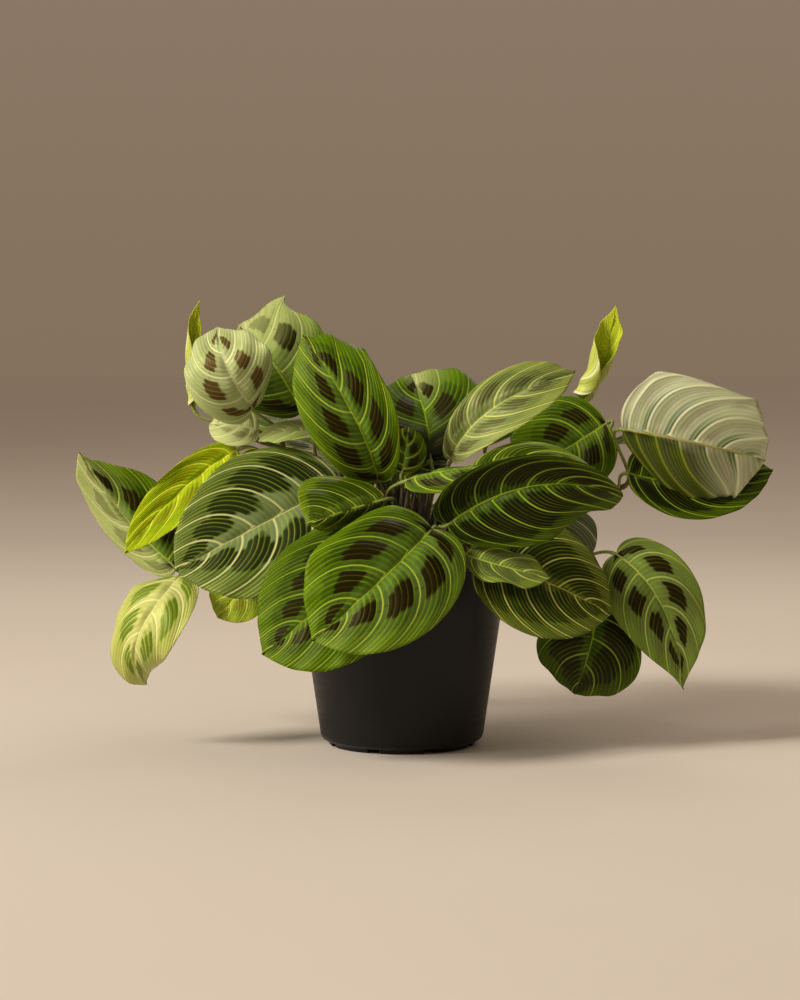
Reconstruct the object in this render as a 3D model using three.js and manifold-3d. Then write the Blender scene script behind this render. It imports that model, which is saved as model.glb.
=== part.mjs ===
// A potted prayer plant: a low bush of large oval leaves in a plastic nursery pot.
// Millimetres, +Z up. The origin is on the pot's axis, at the level that the pot stands on.
// The plant is seen from -Y, with +X to the right.

import * as THREE from 'three';
import { mergeVertices } from 'three/addons/utils/BufferGeometryUtils.js';
import Module from 'manifold-3d';

const wasm = await Module();
wasm.setup();

// Driving dimensions of the pot and its soil.
const POT_HEIGHT = 105;
const FOOT_RADIUS = 45.1;
const MOUTH_RADIUS = 59.4;
const WALL = 1.3;
const WALL_START = 6;
const EDGE_ROUND = 1.2;
const RIM_LIP = 2.6;
const RIM_DEPTH = 6;
const FLOOR_RISE = 3.4;
const FLOOR_CORNER = 2.4;
const FOOT_RING = 38.5;
const FOOT_RING_WIDTH = 3.4;
const FOOT_RING_DRAFT = 0.6;
const FOOT_CHAMFER = 2.6;
const HUB_RADIUS = 12;
const HUB_DRAFT = 0.8;
const POT_SIDES = 40;
const NOTCH_COUNT = 8;
const NOTCH_WIDTH = 7;
const NOTCH_HEIGHT = 2.4;
const NOTCH_REACH = 5;
const DRAIN_COUNT = 6;
const DRAIN_RADIUS = 3.6;
const DRAIN_RING = 27;
const DRAIN_SIDES = 10;
const SOIL_LEVEL = 91;
const SOIL_RINGS = [1, 0.8, 0.55, 0.28, 0];
const SOIL_SWELL = 2.2;
const SEAT_GAP = 0.35;

// Driving dimensions of the plant. The gaps keep neighbouring pieces clear of each other.
const BLADE_THICKNESS = 0.8;
const BLADE_ROWS = 7;
const BEND_STEPS = 6;
const TIP_LENGTH = 0.06;
const BROAD_PART = 0.94;
const LOBE_DEPTH = 0.2;
const LOBE_FADE = 2.2;
const VEIN_START_POWER = 1.35;
const VEIN_END_POWER = 1.5;
const VEIN_LEAN = 0.25;
const VEIN_SPREAD = 0.75;
const STALK_RADIUS = 1.0;
const STALK_FOOT_RADIUS = 1.7;
const STALK_SIDES = 4;
const STALK_STEPS = 5;
const STALK_BEND = 0.4;
const STALK_REACH = 0.07;
const STEM_RADIUS = 2.2;
const STEM_TAPER = 0.7;
const STEM_SIDES = 6;
const STEM_STEP = 7;
const JOINT_SWELL = 1.14;
const JOINT_EVERY = 3;
const FOOT_GAP = 0.3;
const HOLE_GAP = 0.4;
const SMOOTH_COLUMNS = [-1, -0.5, 0, 0.5, 1];
const ROLLED_COLUMNS = [-1, -0.75, -0.5, -0.25, 0, 0.25, 0.5, 0.75, 1];

const COLOURS = {
  pot: { color: 0x1a1918, roughness: 0.45, metalness: 0 },
  soil: { color: 0x33241a, roughness: 0.95, metalness: 0 },
  stem: { color: 0x6b5a3a, roughness: 0.6, metalness: 0 },
  leaf: { color: 0x5e8a1e, roughness: 0.38, metalness: 0 },
  pale: { color: 0x9fb58a, roughness: 0.38, metalness: 0 },
  fresh: { color: 0xb9cc2c, roughness: 0.4, metalness: 0 },
};

// The stems. Each is a list of points from its foot in the soil to its last leaf.
const STEMS = {
  stem_left: [[-16, -8, 74], [-34, -12, 116], [-60, -4, 132], [-90, 6, 134], [-114, 8, 120]],
  stem_upper_left: [[-10, 8, 74], [-22, 18, 118], [-40, 24, 146], [-62, 26, 160], [-84, 24, 168]],
  stem_centre: [[-4, -6, 74], [-6, -10, 106], [-10, -10, 136]],
  stem_front: [[8, -18, 74], [14, -28, 102], [20, -34, 118]],
  stem_back_centre: [[8, 6, 74], [12, 9, 116], [18, 10, 144]],
  stem_right: [[18, 4, 74], [42, 14, 116], [80, 30, 134], [124, 32, 140]],
  stem_low_right: [[16, -10, 74], [36, -20, 106], [66, -24, 114], [98, -14, 104]],
  stem_back_left: [[-8, 14, 74], [-24, 36, 114], [-50, 66, 134], [-78, 92, 132]],
  stem_back: [[2, 18, 74], [6, 44, 116], [4, 76, 136], [0, 100, 134]],
  stem_back_right: [[14, 14, 74], [34, 40, 116], [60, 66, 136], [86, 86, 132]],
  stem_cut: [[-2, 4, 74], [0, -8, 112], [1, -20, 143]],
};

// The leaves. stem and at say where the stalk leaves its stem, at a share of the stem's length.
// rib is the midrib from base to tip, width the full flat width, and face the way the upper side
// looks. left and right are the halves, seen from above with the tip ahead: how far each half
// rises from the midrib at the base and at the tip, and how far it bends on to its margin at the
// base and at the tip, in degrees.
// Some leaves say more. halves narrows the left and right halves, broad moves the widest part
// towards the tip, point lengthens the tip, and wave and waves make the margin wavy. rise is the
// way the stalk sets out, look names the colour, and rolled is a new leaf that is still rolled up.
const LEAVES = {
  front_low: {
    stem: 'stem_front', at: 0.75, rib: [[16, -54, 123], [-13, -92, 97], [-46, -104, 69]],
    width: 80, face: [0.1, -0.85, 0.5], left: [16, 8, -34, -20], right: [16, 8, -34, -20],
  },
  front_left: {
    stem: 'stem_centre', at: 0.5, rib: [[-4, -44, 127], [-38, -73, 89], [-73, -80, 59]],
    width: 78, face: [-0.05, -0.85, 0.5], left: [20, 8, -20, -20], right: [4, 8, -30, -20],
    halves: [1.05, 1],
  },
  centre_half: {
    stem: 'stem_centre', at: 0.68, rib: [[-9, -38, 138], [-33, -60, 132], [-49, -70, 126]],
    width: 60, face: [-0.1, -0.5, 0.85], left: [-70, -50, -40, -20], right: [25, 20, -20, -20],
    halves: [0.3, 1],
  },
  left_big: {
    stem: 'stem_left', at: 0.3, rib: [[-34, -8, 144], [-79, -36, 122], [-121, -48, 100]],
    width: 90, face: [-0.15, -0.92, 0.35], left: [36, 8, -30, -20], right: [10, 8, -28, -20],
    halves: [1, 1.08],
  },
  left_bright: {
    stem: 'stem_left', at: 0.62, rib: [[-92, 12, 162], [-124, 9, 138], [-152, -8, 106]],
    width: 40, face: [-0.3, -0.9, 0.3], left: [10, 10, 10, 10], right: [20, 20, 20, 20],
    look: 'fresh', halves: [1, 0.65],
  },
  left_strip: {
    stem: 'stem_left', at: 0.5, rib: [[-79, -1, 161], [-93, -6, 151], [-108, -14, 140]],
    width: 14, face: [-0.3, -0.9, 0.3], left: [0, 0, 120, 120], right: [0, 0, 120, 120], look: 'fresh',
  },
  far_left: {
    stem: 'stem_left', at: 1, rib: [[-126, 14, 96], [-156, 16, 126], [-179, 8, 161]],
    width: 56, face: [0.1, -0.9, 0.4], left: [-20, -40, -30, -30], right: [20, 20, 10, 10],
    halves: [0.6, 1],
  },
  low_left: {
    stem: 'stem_left', at: 0.85,
    rib: [[-122, -14, 94], [-133, -32, 80], [-144, -34, 58], [-140, -12, 34]],
    width: 50, face: [-0.1, -0.9, 0.4], left: [14, 8, -20, -20], right: [-20, -10, -50, -40],
    look: 'fresh', halves: [0.85, 0.85],
  },
  low_left_small: {
    stem: 'stem_left', at: 0.45, rib: [[-78, -10, 98], [-90, -14, 84], [-101, -14, 71]],
    width: 34, face: [0, -0.9, 0.4], left: [14, 8, -20, -20], right: [14, 8, -20, -20], look: 'fresh',
  },
  new_left: {
    stem: 'stem_upper_left', at: 1, rib: [[-117, 28, 186], [-118, 28, 216], [-113, 24, 245]],
    width: 22, face: [0.3, -0.9, 0], left: [0, 0, 165, 150], right: [0, 0, 165, 150],
    look: 'fresh', rolled: true,
  },
  silver_left: {
    stem: 'stem_upper_left', at: 0.86, rib: [[-82, 0, 185], [-95, -18, 208], [-102, 2, 230]],
    width: 50, face: [-0.1, -0.9, 0.35], left: [4, 0, -24, -20], right: [10, 8, -20, -20], look: 'pale',
  },
  tall_left: {
    stem: 'stem_upper_left', at: 0.7, rib: [[-56, 26, 183], [-76, 18, 216], [-93, 50, 231]],
    width: 74, face: [-0.1, -0.85, 0.45], left: [-20, -20, -10, -10], right: [14, 8, -20, -20],
    broad: 1.1,
  },
  under_silver: {
    stem: 'stem_upper_left', at: 0.95, rib: [[-80, 10, 173], [-93, 8, 176], [-107, 13, 176]],
    width: 32, face: [0, -0.7, 0.7], left: [14, 8, -20, -20], right: [14, 8, -20, -20], look: 'pale',
  },
  glossy_left: {
    stem: 'stem_upper_left', at: 0.55, rib: [[-44, 11, 170], [-62, 3, 173], [-79, 0, 167]],
    width: 30, face: [0, -0.35, 0.95], left: [14, 8, -20, -20], right: [14, 8, -20, -20],
  },
  tall_centre: {
    stem: 'stem_centre', at: 1, rib: [[-13, -18, 147], [-27, -34, 184], [-54, -20, 225]],
    width: 52, face: [-0.1, -0.95, 0.2], left: [35, 4, -20, -20], right: [30, -25, -20, -20],
    halves: [1, 0.84], broad: 1.12,
  },
  back_centre: {
    stem: 'stem_back_centre', at: 1, rib: [[16, 14, 157], [13, 38, 180], [5, 66, 203]],
    width: 68, face: [0, -0.75, 0.65], left: [14, 8, -20, -20], right: [30, 26, -20, -20],
  },
  small_centre: {
    stem: 'stem_back_centre', at: 0.58, rib: [[0, 4, 150], [2, 7, 163], [3, 10, 175]],
    width: 24, face: [0, -1, 0.1], left: [14, 8, -20, -20], right: [14, 8, -20, -20],
  },
  pale_right: {
    stem: 'stem_back_centre', at: 0.8, rib: [[27, -4, 158], [50, -9, 186], [95, -2, 205]],
    width: 46, face: [-0.1, -0.8, 0.6], left: [40, 10, -20, -20], right: [34, 10, -20, -20],
    look: 'pale', halves: [0.9, 1], broad: 1.15,
  },
  right_behind: {
    stem: 'stem_right', at: 0.84, rib: [[115, 34, 176], [93, 33, 162], [66, 24, 147]],
    width: 55, face: [0, -0.9, 0.35], left: [14, 8, -20, -20], right: [14, 8, -20, -20],
  },
  far_right: {
    stem: 'stem_right', at: 1, rib: [[122, 2, 174], [160, -12, 167], [200, -2, 157]],
    width: 76, face: [0, 0.9, 0.4], left: [6, 4, 20, 20], right: [6, 4, 20, 20],
    look: 'pale', broad: 1.05, rise: [1, -1, 0.4],
  },
  far_right_low: {
    stem: 'stem_right', at: 0.97, rib: [[126, 13, 149], [166, 20, 144], [207, 18, 150]],
    width: 52, face: [0, -0.8, 0.6], left: [14, 8, -20, -20], right: [14, 8, -20, -20],
    rise: [0.6, -1, -0.3],
  },
  centre_right: {
    stem: 'stem_front', at: 1, rib: [[24, -54, 125], [68, -78, 147], [116, -67, 141]],
    width: 74, face: [0, -1, 0.2], left: [20, 15, 60, 50], right: [0, 0, -40, -40],
    halves: [0.66, 0.86],
  },
  centre_curl: {
    stem: 'stem_centre', at: 0.84, rib: [[2, -36, 148], [34, -48, 155], [70, -52, 154]],
    width: 26, face: [0, -0.3, 0.95], left: [-10, -10, -20, -20], right: [-50, -30, -20, -20],
  },
  right_middle: {
    stem: 'stem_right', at: 0.4, rib: [[40, -30, 150], [71, -32, 158], [108, -34, 147]],
    width: 38, face: [0, -0.6, 0.8], left: [14, 8, -20, -20], right: [14, 8, -20, -20],
    halves: [0.8, 0.6],
  },
  new_right: {
    stem: 'stem_right', at: 0.72, rib: [[103, 52, 189], [115, 48, 213], [121, 42, 243]],
    width: 40, face: [-0.2, -1, 0], left: [0, 0, 165, 150], right: [0, 0, 165, 150],
    look: 'fresh', rolled: true,
  },
  low_right: {
    stem: 'stem_low_right', at: 0.5, rib: [[41, -48, 108], [78, -50, 94], [112, -43, 76]],
    width: 66, face: [0, -0.85, 0.5], left: [14, 8, -20, -20], right: [14, 8, -20, -20],
  },
  low_right_dark: {
    stem: 'stem_low_right', at: 0.8, rib: [[107, -22, 80], [102, -28, 56], [94, -22, 30]],
    width: 58, face: [0, -0.95, 0.3], left: [14, 8, -20, -20], right: [14, 8, -20, -20],
    broad: 1.2, rise: [1, -0.6, 0.2],
  },
  low_far_right: {
    stem: 'stem_low_right', at: 1, rib: [[117, -12, 106], [141, -28, 79], [153, -22, 33]],
    width: 48, face: [0.1, -0.95, 0.3], left: [14, 8, -20, -20], right: [14, 8, -20, -20],
    halves: [1, 1.12], point: 0.14, rise: [1, 0, 0.3],
  },
  back_low_left: {
    stem: 'stem_back_left', at: 0.6, rib: [[-38, 64, 128], [-56, 94, 112], [-72, 108, 84]],
    width: 70, face: [-0.2, 0.8, 0.55], left: [14, 8, -30, -20], right: [14, 8, -30, -20],
  },
  back_low: {
    stem: 'stem_back', at: 0.7, rib: [[10, 74, 126], [14, 104, 108], [18, 116, 78]],
    width: 76, face: [0.05, 0.85, 0.5], left: [14, 8, -30, -20], right: [14, 8, -30, -20],
  },
  back_low_right: {
    stem: 'stem_back_right', at: 0.6, rib: [[62, 66, 126], [84, 92, 110], [100, 104, 82]],
    width: 66, face: [0.3, 0.8, 0.5], left: [14, 8, -30, -20], right: [14, 8, -30, -20],
  },
  back_left: {
    stem: 'stem_back_left', at: 1, rib: [[-86, 98, 140], [-116, 118, 128], [-142, 126, 102]],
    width: 66, face: [-0.45, 0.65, 0.6], left: [14, 8, -30, -20], right: [14, 8, -30, -20],
  },
  back_high_left: {
    stem: 'stem_back_left', at: 0.8, rib: [[-52, 78, 160], [-68, 102, 174], [-84, 122, 172]],
    width: 60, face: [-0.2, 0.35, 0.9], left: [14, 8, -30, -20], right: [14, 8, -30, -20],
  },
  back_high: {
    stem: 'stem_back', at: 0.85, rib: [[2, 84, 164], [4, 112, 178], [4, 140, 172]],
    width: 64, face: [0, 0.3, 0.95], left: [14, 8, -30, -20], right: [14, 8, -30, -20],
  },
  back_high_right: {
    stem: 'stem_back_right', at: 0.8, rib: [[48, 66, 162], [64, 90, 176], [82, 112, 174]],
    width: 58, face: [0.1, 0.35, 0.9], left: [14, 8, -30, -20], right: [14, 8, -30, -20],
  },
  back_right: {
    stem: 'stem_back_right', at: 1, rib: [[80, 98, 128], [94, 116, 114], [100, 124, 92]],
    width: 46, face: [0.35, 0.7, 0.6], left: [14, 8, -30, -20], right: [14, 8, -30, -20],
  },
  side_right: {
    stem: 'stem_right', at: 0.6, rib: [[108, 62, 156], [142, 72, 168], [176, 74, 162]],
    width: 56, face: [0.2, 0.2, 0.95], left: [14, 8, -30, -20], right: [14, 8, -30, -20],
  },
  side_left: {
    stem: 'stem_left', at: 0.72, rib: [[-98, 44, 138], [-126, 56, 136], [-150, 58, 120]],
    width: 54, face: [-0.4, 0.1, 0.9], left: [14, 8, -30, -20], right: [14, 8, -30, -20],
  },
  side_low_left: {
    stem: 'stem_back_left', at: 0.4, rib: [[-62, 38, 118], [-92, 50, 106], [-114, 56, 86]],
    width: 62, face: [-0.5, 0.3, 0.8], left: [14, 8, -30, -20], right: [14, 8, -30, -20],
  },
  side_low_right: {
    stem: 'stem_right', at: 0.5, rib: [[62, 46, 118], [86, 56, 106], [102, 60, 86]],
    width: 58, face: [0.5, 0.3, 0.8], left: [14, 8, -30, -20], right: [14, 8, -30, -20],
  },
  inner_left: {
    stem: 'stem_back_left', at: 0.45, rib: [[-34, 34, 146], [-50, 52, 162], [-66, 68, 166]],
    width: 54, face: [-0.3, 0.1, 0.95], left: [14, 8, -30, -20], right: [14, 8, -30, -20],
  },
  inner_right: {
    stem: 'stem_back_right', at: 0.45, rib: [[42, 36, 137], [57, 46, 143], [72, 51, 140]],
    width: 40, face: [0.2, -0.1, 0.95], left: [14, 8, -30, -20], right: [14, 8, -30, -20],
  },
  low_crinkle: {
    stem: 'stem_low_right', at: 0.38, rib: [[34, -55, 109], [56, -60, 103], [78, -60, 97]],
    width: 26, face: [0, -0.7, 0.7], left: [14, 8, -20, -20], right: [14, 8, -20, -20],
    wave: 2.4, waves: 3,
  },
  inner_centre: {
    stem: 'stem_back', at: 0.4, rib: [[-10, 36, 137], [8, 40, 150], [26, 44, 155]],
    width: 40, face: [0, -0.7, 0.7], left: [14, 8, -20, -20], right: [14, 8, -20, -20],
  },
};

const DEGREE = Math.PI / 180;
const vec = (point) => new THREE.Vector3(...point);
const mix = (from, to, share) => from + (to - from) * share;

// The manifold solid of a closed three.js geometry, and the geometry of a manifold solid.
function solidOf(geometry) {
  const bare = geometry.clone();
  bare.deleteAttribute('normal');
  bare.deleteAttribute('uv');
  const joined = mergeVertices(bare, 1e-4);
  const vertProperties = new Float32Array(joined.attributes.position.array);
  const triVerts = new Uint32Array(joined.index.array);
  return new wasm.Manifold(new wasm.Mesh({ numProp: 3, vertProperties, triVerts }));
}

function geometryOf(solid) {
  const mesh = solid.getMesh();
  const geometry = new THREE.BufferGeometry();
  geometry.setAttribute('position', new THREE.BufferAttribute(mesh.vertProperties, 3));
  geometry.setIndex(new THREE.BufferAttribute(mesh.triVerts, 1));
  geometry.computeVertexNormals();
  return geometry;
}

function solidFromParts(points, triangles) {
  const vertProperties = new Float32Array(points.flatMap((point) => [point.x, point.y, point.z]));
  const triVerts = new Uint32Array(triangles.flat());
  return new wasm.Manifold(new wasm.Mesh({ numProp: 3, vertProperties, triVerts }));
}

// The largest body of a solid, so that a cut leaves no loose scrap behind.
function largestBody(solid) {
  const bodies = solid.decompose();
  return bodies.reduce((best, body) => (body.volume() > best.volume() ? body : best));
}

// A closed tube along a list of points, with a radius for each point.
function tube(points, radii, sides) {
  const rings = [];
  let side = new THREE.Vector3(0.3, 1, 0.2).normalize();
  points.forEach((point, index) => {
    const before = points[Math.max(index - 1, 0)];
    const after = points[Math.min(index + 1, points.length - 1)];
    const ahead = after.clone().sub(before).normalize();
    side = side.clone().addScaledVector(ahead, -side.dot(ahead)).normalize();
    const up = ahead.clone().cross(side);
    for (let corner = 0; corner < sides; corner += 1) {
      const turn = (2 * Math.PI * corner) / sides;
      rings.push(point.clone()
        .addScaledVector(side, radii[index] * Math.cos(turn))
        .addScaledVector(up, radii[index] * Math.sin(turn)));
    }
  });
  const triangles = [];
  for (let ring = 0; ring < points.length - 1; ring += 1) {
    for (let corner = 0; corner < sides; corner += 1) {
      const near = ring * sides + corner;
      const nearNext = ring * sides + ((corner + 1) % sides);
      triangles.push([near, nearNext, nearNext + sides], [near, nearNext + sides, near + sides]);
    }
  }
  const last = (points.length - 1) * sides;
  for (let corner = 1; corner < sides - 1; corner += 1) {
    triangles.push([0, corner + 1, corner], [last, last + corner, last + corner + 1]);
  }
  return solidFromParts(rings, triangles);
}

// The pot: a lathed wall with a rolled rim, a foot ring and a middle boss, cut by notches and drains.
function potSolid() {
  const slope = (MOUTH_RADIUS - FOOT_RADIUS) / (POT_HEIGHT - WALL_START);
  const wallAt = (height) => FOOT_RADIUS + slope * (height - WALL_START);
  const innerAt = (height) => wallAt(height) - WALL;
  const floorTop = FLOOR_RISE + WALL;
  const rimBottom = POT_HEIGHT - RIM_DEPTH;
  const ringInside = FOOT_RING - FOOT_RING_WIDTH / 2;
  const ringOutside = FOOT_RING + FOOT_RING_WIDTH / 2;
  const profile = [
    [0, 0], [HUB_RADIUS, 0], [HUB_RADIUS + HUB_DRAFT, FLOOR_RISE],
    [ringInside - FOOT_RING_DRAFT, FLOOR_RISE], [ringInside, 0],
    [ringOutside, 0], [ringOutside + FOOT_RING_DRAFT, FOOT_CHAMFER - FOOT_RING_DRAFT],
    [FOOT_RADIUS - FOOT_CHAMFER, FOOT_CHAMFER],
    [FOOT_RADIUS - FOOT_CHAMFER / 3, FOOT_CHAMFER + EDGE_ROUND], [wallAt(WALL_START), WALL_START],
    [wallAt(rimBottom - EDGE_ROUND), rimBottom - EDGE_ROUND],
    [wallAt(rimBottom) + RIM_LIP - EDGE_ROUND, rimBottom],
    [wallAt(rimBottom) + RIM_LIP, rimBottom + EDGE_ROUND],
    [wallAt(POT_HEIGHT) + RIM_LIP, POT_HEIGHT - EDGE_ROUND],
    [wallAt(POT_HEIGHT) + RIM_LIP - EDGE_ROUND, POT_HEIGHT],
    [innerAt(POT_HEIGHT) + EDGE_ROUND / 2, POT_HEIGHT], [innerAt(POT_HEIGHT), POT_HEIGHT - EDGE_ROUND],
    [innerAt(floorTop + FLOOR_CORNER), floorTop + FLOOR_CORNER],
    [innerAt(floorTop) - FLOOR_CORNER, floorTop], [0, floorTop],
  ].map(([radius, height]) => new THREE.Vector2(radius, height));
  let solid = solidOf(new THREE.LatheGeometry(profile, POT_SIDES).rotateX(Math.PI / 2));
  for (let notch = 0; notch < NOTCH_COUNT; notch += 1) {
    const turn = (2 * Math.PI * (notch + 0.5)) / NOTCH_COUNT;
    const cutter = new THREE.BoxGeometry(FOOT_RING_WIDTH + NOTCH_REACH, NOTCH_WIDTH, 2 * NOTCH_HEIGHT);
    cutter.translate(FOOT_RING + FOOT_RING_DRAFT, 0, 0).rotateZ(turn);
    solid = solid.subtract(solidOf(cutter));
  }
  for (let drain = 0; drain < DRAIN_COUNT; drain += 1) {
    const turn = (2 * Math.PI * drain) / DRAIN_COUNT;
    const cutter = new THREE.CylinderGeometry(DRAIN_RADIUS, DRAIN_RADIUS, 4 * floorTop, DRAIN_SIDES);
    cutter.rotateX(Math.PI / 2).translate(DRAIN_RING, 0, FLOOR_RISE).rotateZ(turn);
    solid = solid.subtract(solidOf(cutter));
  }
  return { solid, innerAt, floorTop };
}

// A smooth curve through a stem's points, and the stem's solid, made thicker by extra.
const stemCurve = (name) => new THREE.CatmullRomCurve3(STEMS[name].map(vec));

function stemSolid(name, extra = 0) {
  const curve = stemCurve(name);
  const steps = Math.max(3, Math.round(curve.getLength() / STEM_STEP));
  const points = curve.getSpacedPoints(steps);
  const radii = points.map((point, index) => {
    const taper = mix(1, STEM_TAPER, index / steps);
    const joint = index % JOINT_EVERY === 1 ? JOINT_SWELL : 1;
    return STEM_RADIUS * taper * joint + extra;
  });
  return tube(points, radii, STEM_SIDES);
}

// The soil: a plug that follows the pot's inner wall, with an uneven top and holes for the stems.
function soilSolid(innerAt, floorTop) {
  const cornerTop = floorTop + FLOOR_CORNER;
  const topRadius = innerAt(SOIL_LEVEL) - 1.5 * SEAT_GAP;
  const profile = [
    [0, floorTop + SEAT_GAP], [innerAt(floorTop) - FLOOR_CORNER - 2 * SEAT_GAP, floorTop + SEAT_GAP],
    [innerAt(cornerTop) - 1.5 * SEAT_GAP, cornerTop + SEAT_GAP],
    ...SOIL_RINGS.map((share) => [topRadius * share, SOIL_LEVEL]),
  ].map(([radius, height]) => new THREE.Vector2(radius, height));
  const geometry = new THREE.LatheGeometry(profile, POT_SIDES / 2).rotateX(Math.PI / 2);
  const place = geometry.attributes.position;
  for (let index = 0; index < place.count; index += 1) {
    const x = place.getX(index);
    const y = place.getY(index);
    if (place.getZ(index) > SOIL_LEVEL - 1) {
      const reach = Math.hypot(x, y) / topRadius;
      const bumps = Math.sin(x * 0.19 + 1) * Math.cos(y * 0.23) + 0.5 * Math.sin(x * 0.41 - y * 0.37);
      place.setZ(index, SOIL_LEVEL + SOIL_SWELL * (bumps * (1 - reach ** 4) + 1.2 * (1 - reach ** 2)));
    }
  }
  let solid = solidOf(geometry);
  for (const name of Object.keys(STEMS)) {
    solid = solid.subtract(stemSolid(name, HOLE_GAP));
  }
  return largestBody(solid);
}

// A smooth curve through the rib's points, with its first point at 0 and its last at 1.
function ribPoint(rib, share) {
  const place = new THREE.Vector3();
  const gaps = rib.length - 1;
  rib.forEach((point, index) => {
    let weight = 1;
    for (let other = 0; other <= gaps; other += 1) {
      if (other !== index) {
        weight *= (share * gaps - other) / (index - other);
      }
    }
    place.addScaledVector(vec(point), weight);
  });
  return place;
}

// The rib's direction, the way across the blade to its right half, and the way it faces.
function ribFrame(leaf, share) {
  const small = 0.01;
  const ahead = ribPoint(leaf.rib, share + small).sub(ribPoint(leaf.rib, share - small)).normalize();
  const face = vec(leaf.face);
  const up = face.addScaledVector(ahead, -face.dot(ahead)).normalize();
  return { ahead, up, across: ahead.clone().cross(up) };
}

// The outline of a flat blade: a share of its length, and a share of its half width.
function marginPoint(leaf, share) {
  const turn = Math.PI * share;
  const point = leaf.point ?? TIP_LENGTH;
  const lobe = LOBE_DEPTH * Math.sin(turn) * Math.exp(-LOBE_FADE * turn);
  const along = (0.5 * (1 - Math.cos(turn)) - lobe + point * share ** 12) / (1 + point);
  return [along, Math.sin(Math.PI * share ** (leaf.broad ?? BROAD_PART))];
}

// A point of the flat blade. row runs from the base to the tip along the side veins' feet, and
// column from the left margin at -1 over the midrib to the right margin at 1, along a side vein.
function bladePoint(leaf, row, column) {
  const foot = row ** VEIN_START_POWER;
  const [endAlong, endAcross] = marginPoint(leaf, 1 - (1 - row) ** VEIN_END_POWER);
  const share = Math.abs(column);
  const near = (1 - share) ** 2;
  const middle = 2 * share * (1 - share);
  const far = share ** 2;
  const along = near * foot + middle * mix(foot, endAlong, VEIN_LEAN) + far * endAlong;
  return [along, (middle * VEIN_SPREAD + far) * endAcross];
}

// A point of the bent blade's upper side, and the way that side looks there.
function leafPoint(leaf, row, column) {
  const [along, across] = bladePoint(leaf, row, column);
  const { ahead, up, across: right } = ribFrame(leaf, along);
  const [rise, riseTip, bend, bendTip] = column < 0 ? leaf.left : leaf.right;
  const start = mix(rise, riseTip, along) * DEGREE;
  const turn = mix(bend, bendTip, along) * DEGREE;
  const sign = column < 0 ? -1 : 1;
  let out = 0;
  let height = 0;
  for (let step = 0; step < BEND_STEPS; step += 1) {
    const angle = start + turn * across * ((step + 0.5) / BEND_STEPS);
    out += Math.cos(angle) / BEND_STEPS;
    height += Math.sin(angle) / BEND_STEPS;
  }
  const half = leaf.halves ? leaf.halves[column < 0 ? 0 : 1] : 1;
  const reach = (leaf.width / 2) * half * across;
  const wave = (leaf.wave ?? 0) * Math.sin(2 * Math.PI * (leaf.waves ?? 0) * row);
  const place = ribPoint(leaf.rib, along)
    .addScaledVector(right, sign * reach * out)
    .addScaledVector(up, reach * height + wave * across * across * sign);
  const tilt = start + turn * across;
  const normal = up.clone().multiplyScalar(Math.cos(tilt)).addScaledVector(right, -sign * Math.sin(tilt));
  return { place, normal, ahead };
}

// The blade: two like sheets of triangles, one blade thickness apart, closed along the margin.
function bladeSolid(leaf) {
  const columns = leaf.rolled ? ROLLED_COLUMNS : SMOOTH_COLUMNS;
  const points = [];
  const grid = [];
  for (const depth of [0, BLADE_THICKNESS]) {
    const sheet = [];
    for (let row = 0; row <= BLADE_ROWS; row += 1) {
      const share = row / BLADE_ROWS;
      const single = row === 0 || row === BLADE_ROWS;
      sheet.push(columns.map((column, index) => {
        if (single && index > 0) {
          return points.length - 1;
        }
        const { place, normal } = leafPoint(leaf, share, single ? 0 : column);
        points.push(place.addScaledVector(normal, -depth));
        return points.length - 1;
      }));
    }
    grid.push(sheet);
  }
  const triangles = [];
  const [upper, lower] = grid;
  const last = columns.length - 1;
  const add = (...corners) => {
    if (new Set(corners).size === 3) {
      triangles.push(corners);
    }
  };
  for (let row = 0; row < BLADE_ROWS; row += 1) {
    for (let index = 0; index < last; index += 1) {
      const onLeft = index < last / 2;
      for (const [sheet, turned] of [[upper, false], [lower, true]]) {
        const near = sheet[row][index];
        const nearNext = sheet[row][index + 1];
        const far = sheet[row + 1][index];
        const farNext = sheet[row + 1][index + 1];
        const pair = onLeft
          ? [[near, nearNext, far], [nearNext, farNext, far]]
          : [[near, nearNext, farNext], [near, farNext, far]];
        pair.forEach(([a, b, c]) => (turned ? add(a, c, b) : add(a, b, c)));
      }
    }
    add(upper[row][0], upper[row + 1][0], lower[row + 1][0]);
    add(upper[row][0], lower[row + 1][0], lower[row][0]);
    add(upper[row + 1][last], upper[row][last], lower[row][last]);
    add(upper[row + 1][last], lower[row][last], lower[row + 1][last]);
  }
  return solidFromParts(points, triangles);
}

// The stalk: it leaves its stem, bends over to the blade and runs on a little under the midrib.
function stalkPoints(leaf) {
  const foot = stemCurve(leaf.stem).getPointAt(leaf.at);
  const base = ribPoint(leaf.rib, 0);
  const { ahead, up } = ribFrame(leaf, 0);
  const length = foot.distanceTo(base);
  const sink = BLADE_THICKNESS;
  const seat = base.addScaledVector(up, -sink);
  const rise = vec(leaf.rise ?? [0, 0, 1]).normalize();
  const curve = new THREE.CubicBezierCurve3(
    foot, foot.clone().addScaledVector(rise, length * STALK_BEND),
    seat.clone().addScaledVector(ahead, -length * STALK_BEND), seat,
  );
  const points = curve.getSpacedPoints(STALK_STEPS);
  points.push(ribPoint(leaf.rib, STALK_REACH).addScaledVector(ribFrame(leaf, STALK_REACH).up, -sink));
  return points;
}

function stalkSolid(leaf) {
  const points = stalkPoints(leaf);
  const radii = points.map((point, index) => (index < 2
    ? mix(STALK_FOOT_RADIUS, STALK_RADIUS, index / 2)
    : STALK_RADIUS));
  radii[radii.length - 1] = STALK_RADIUS * 0.7;
  return tube(points, radii, STALK_SIDES);
}

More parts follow.
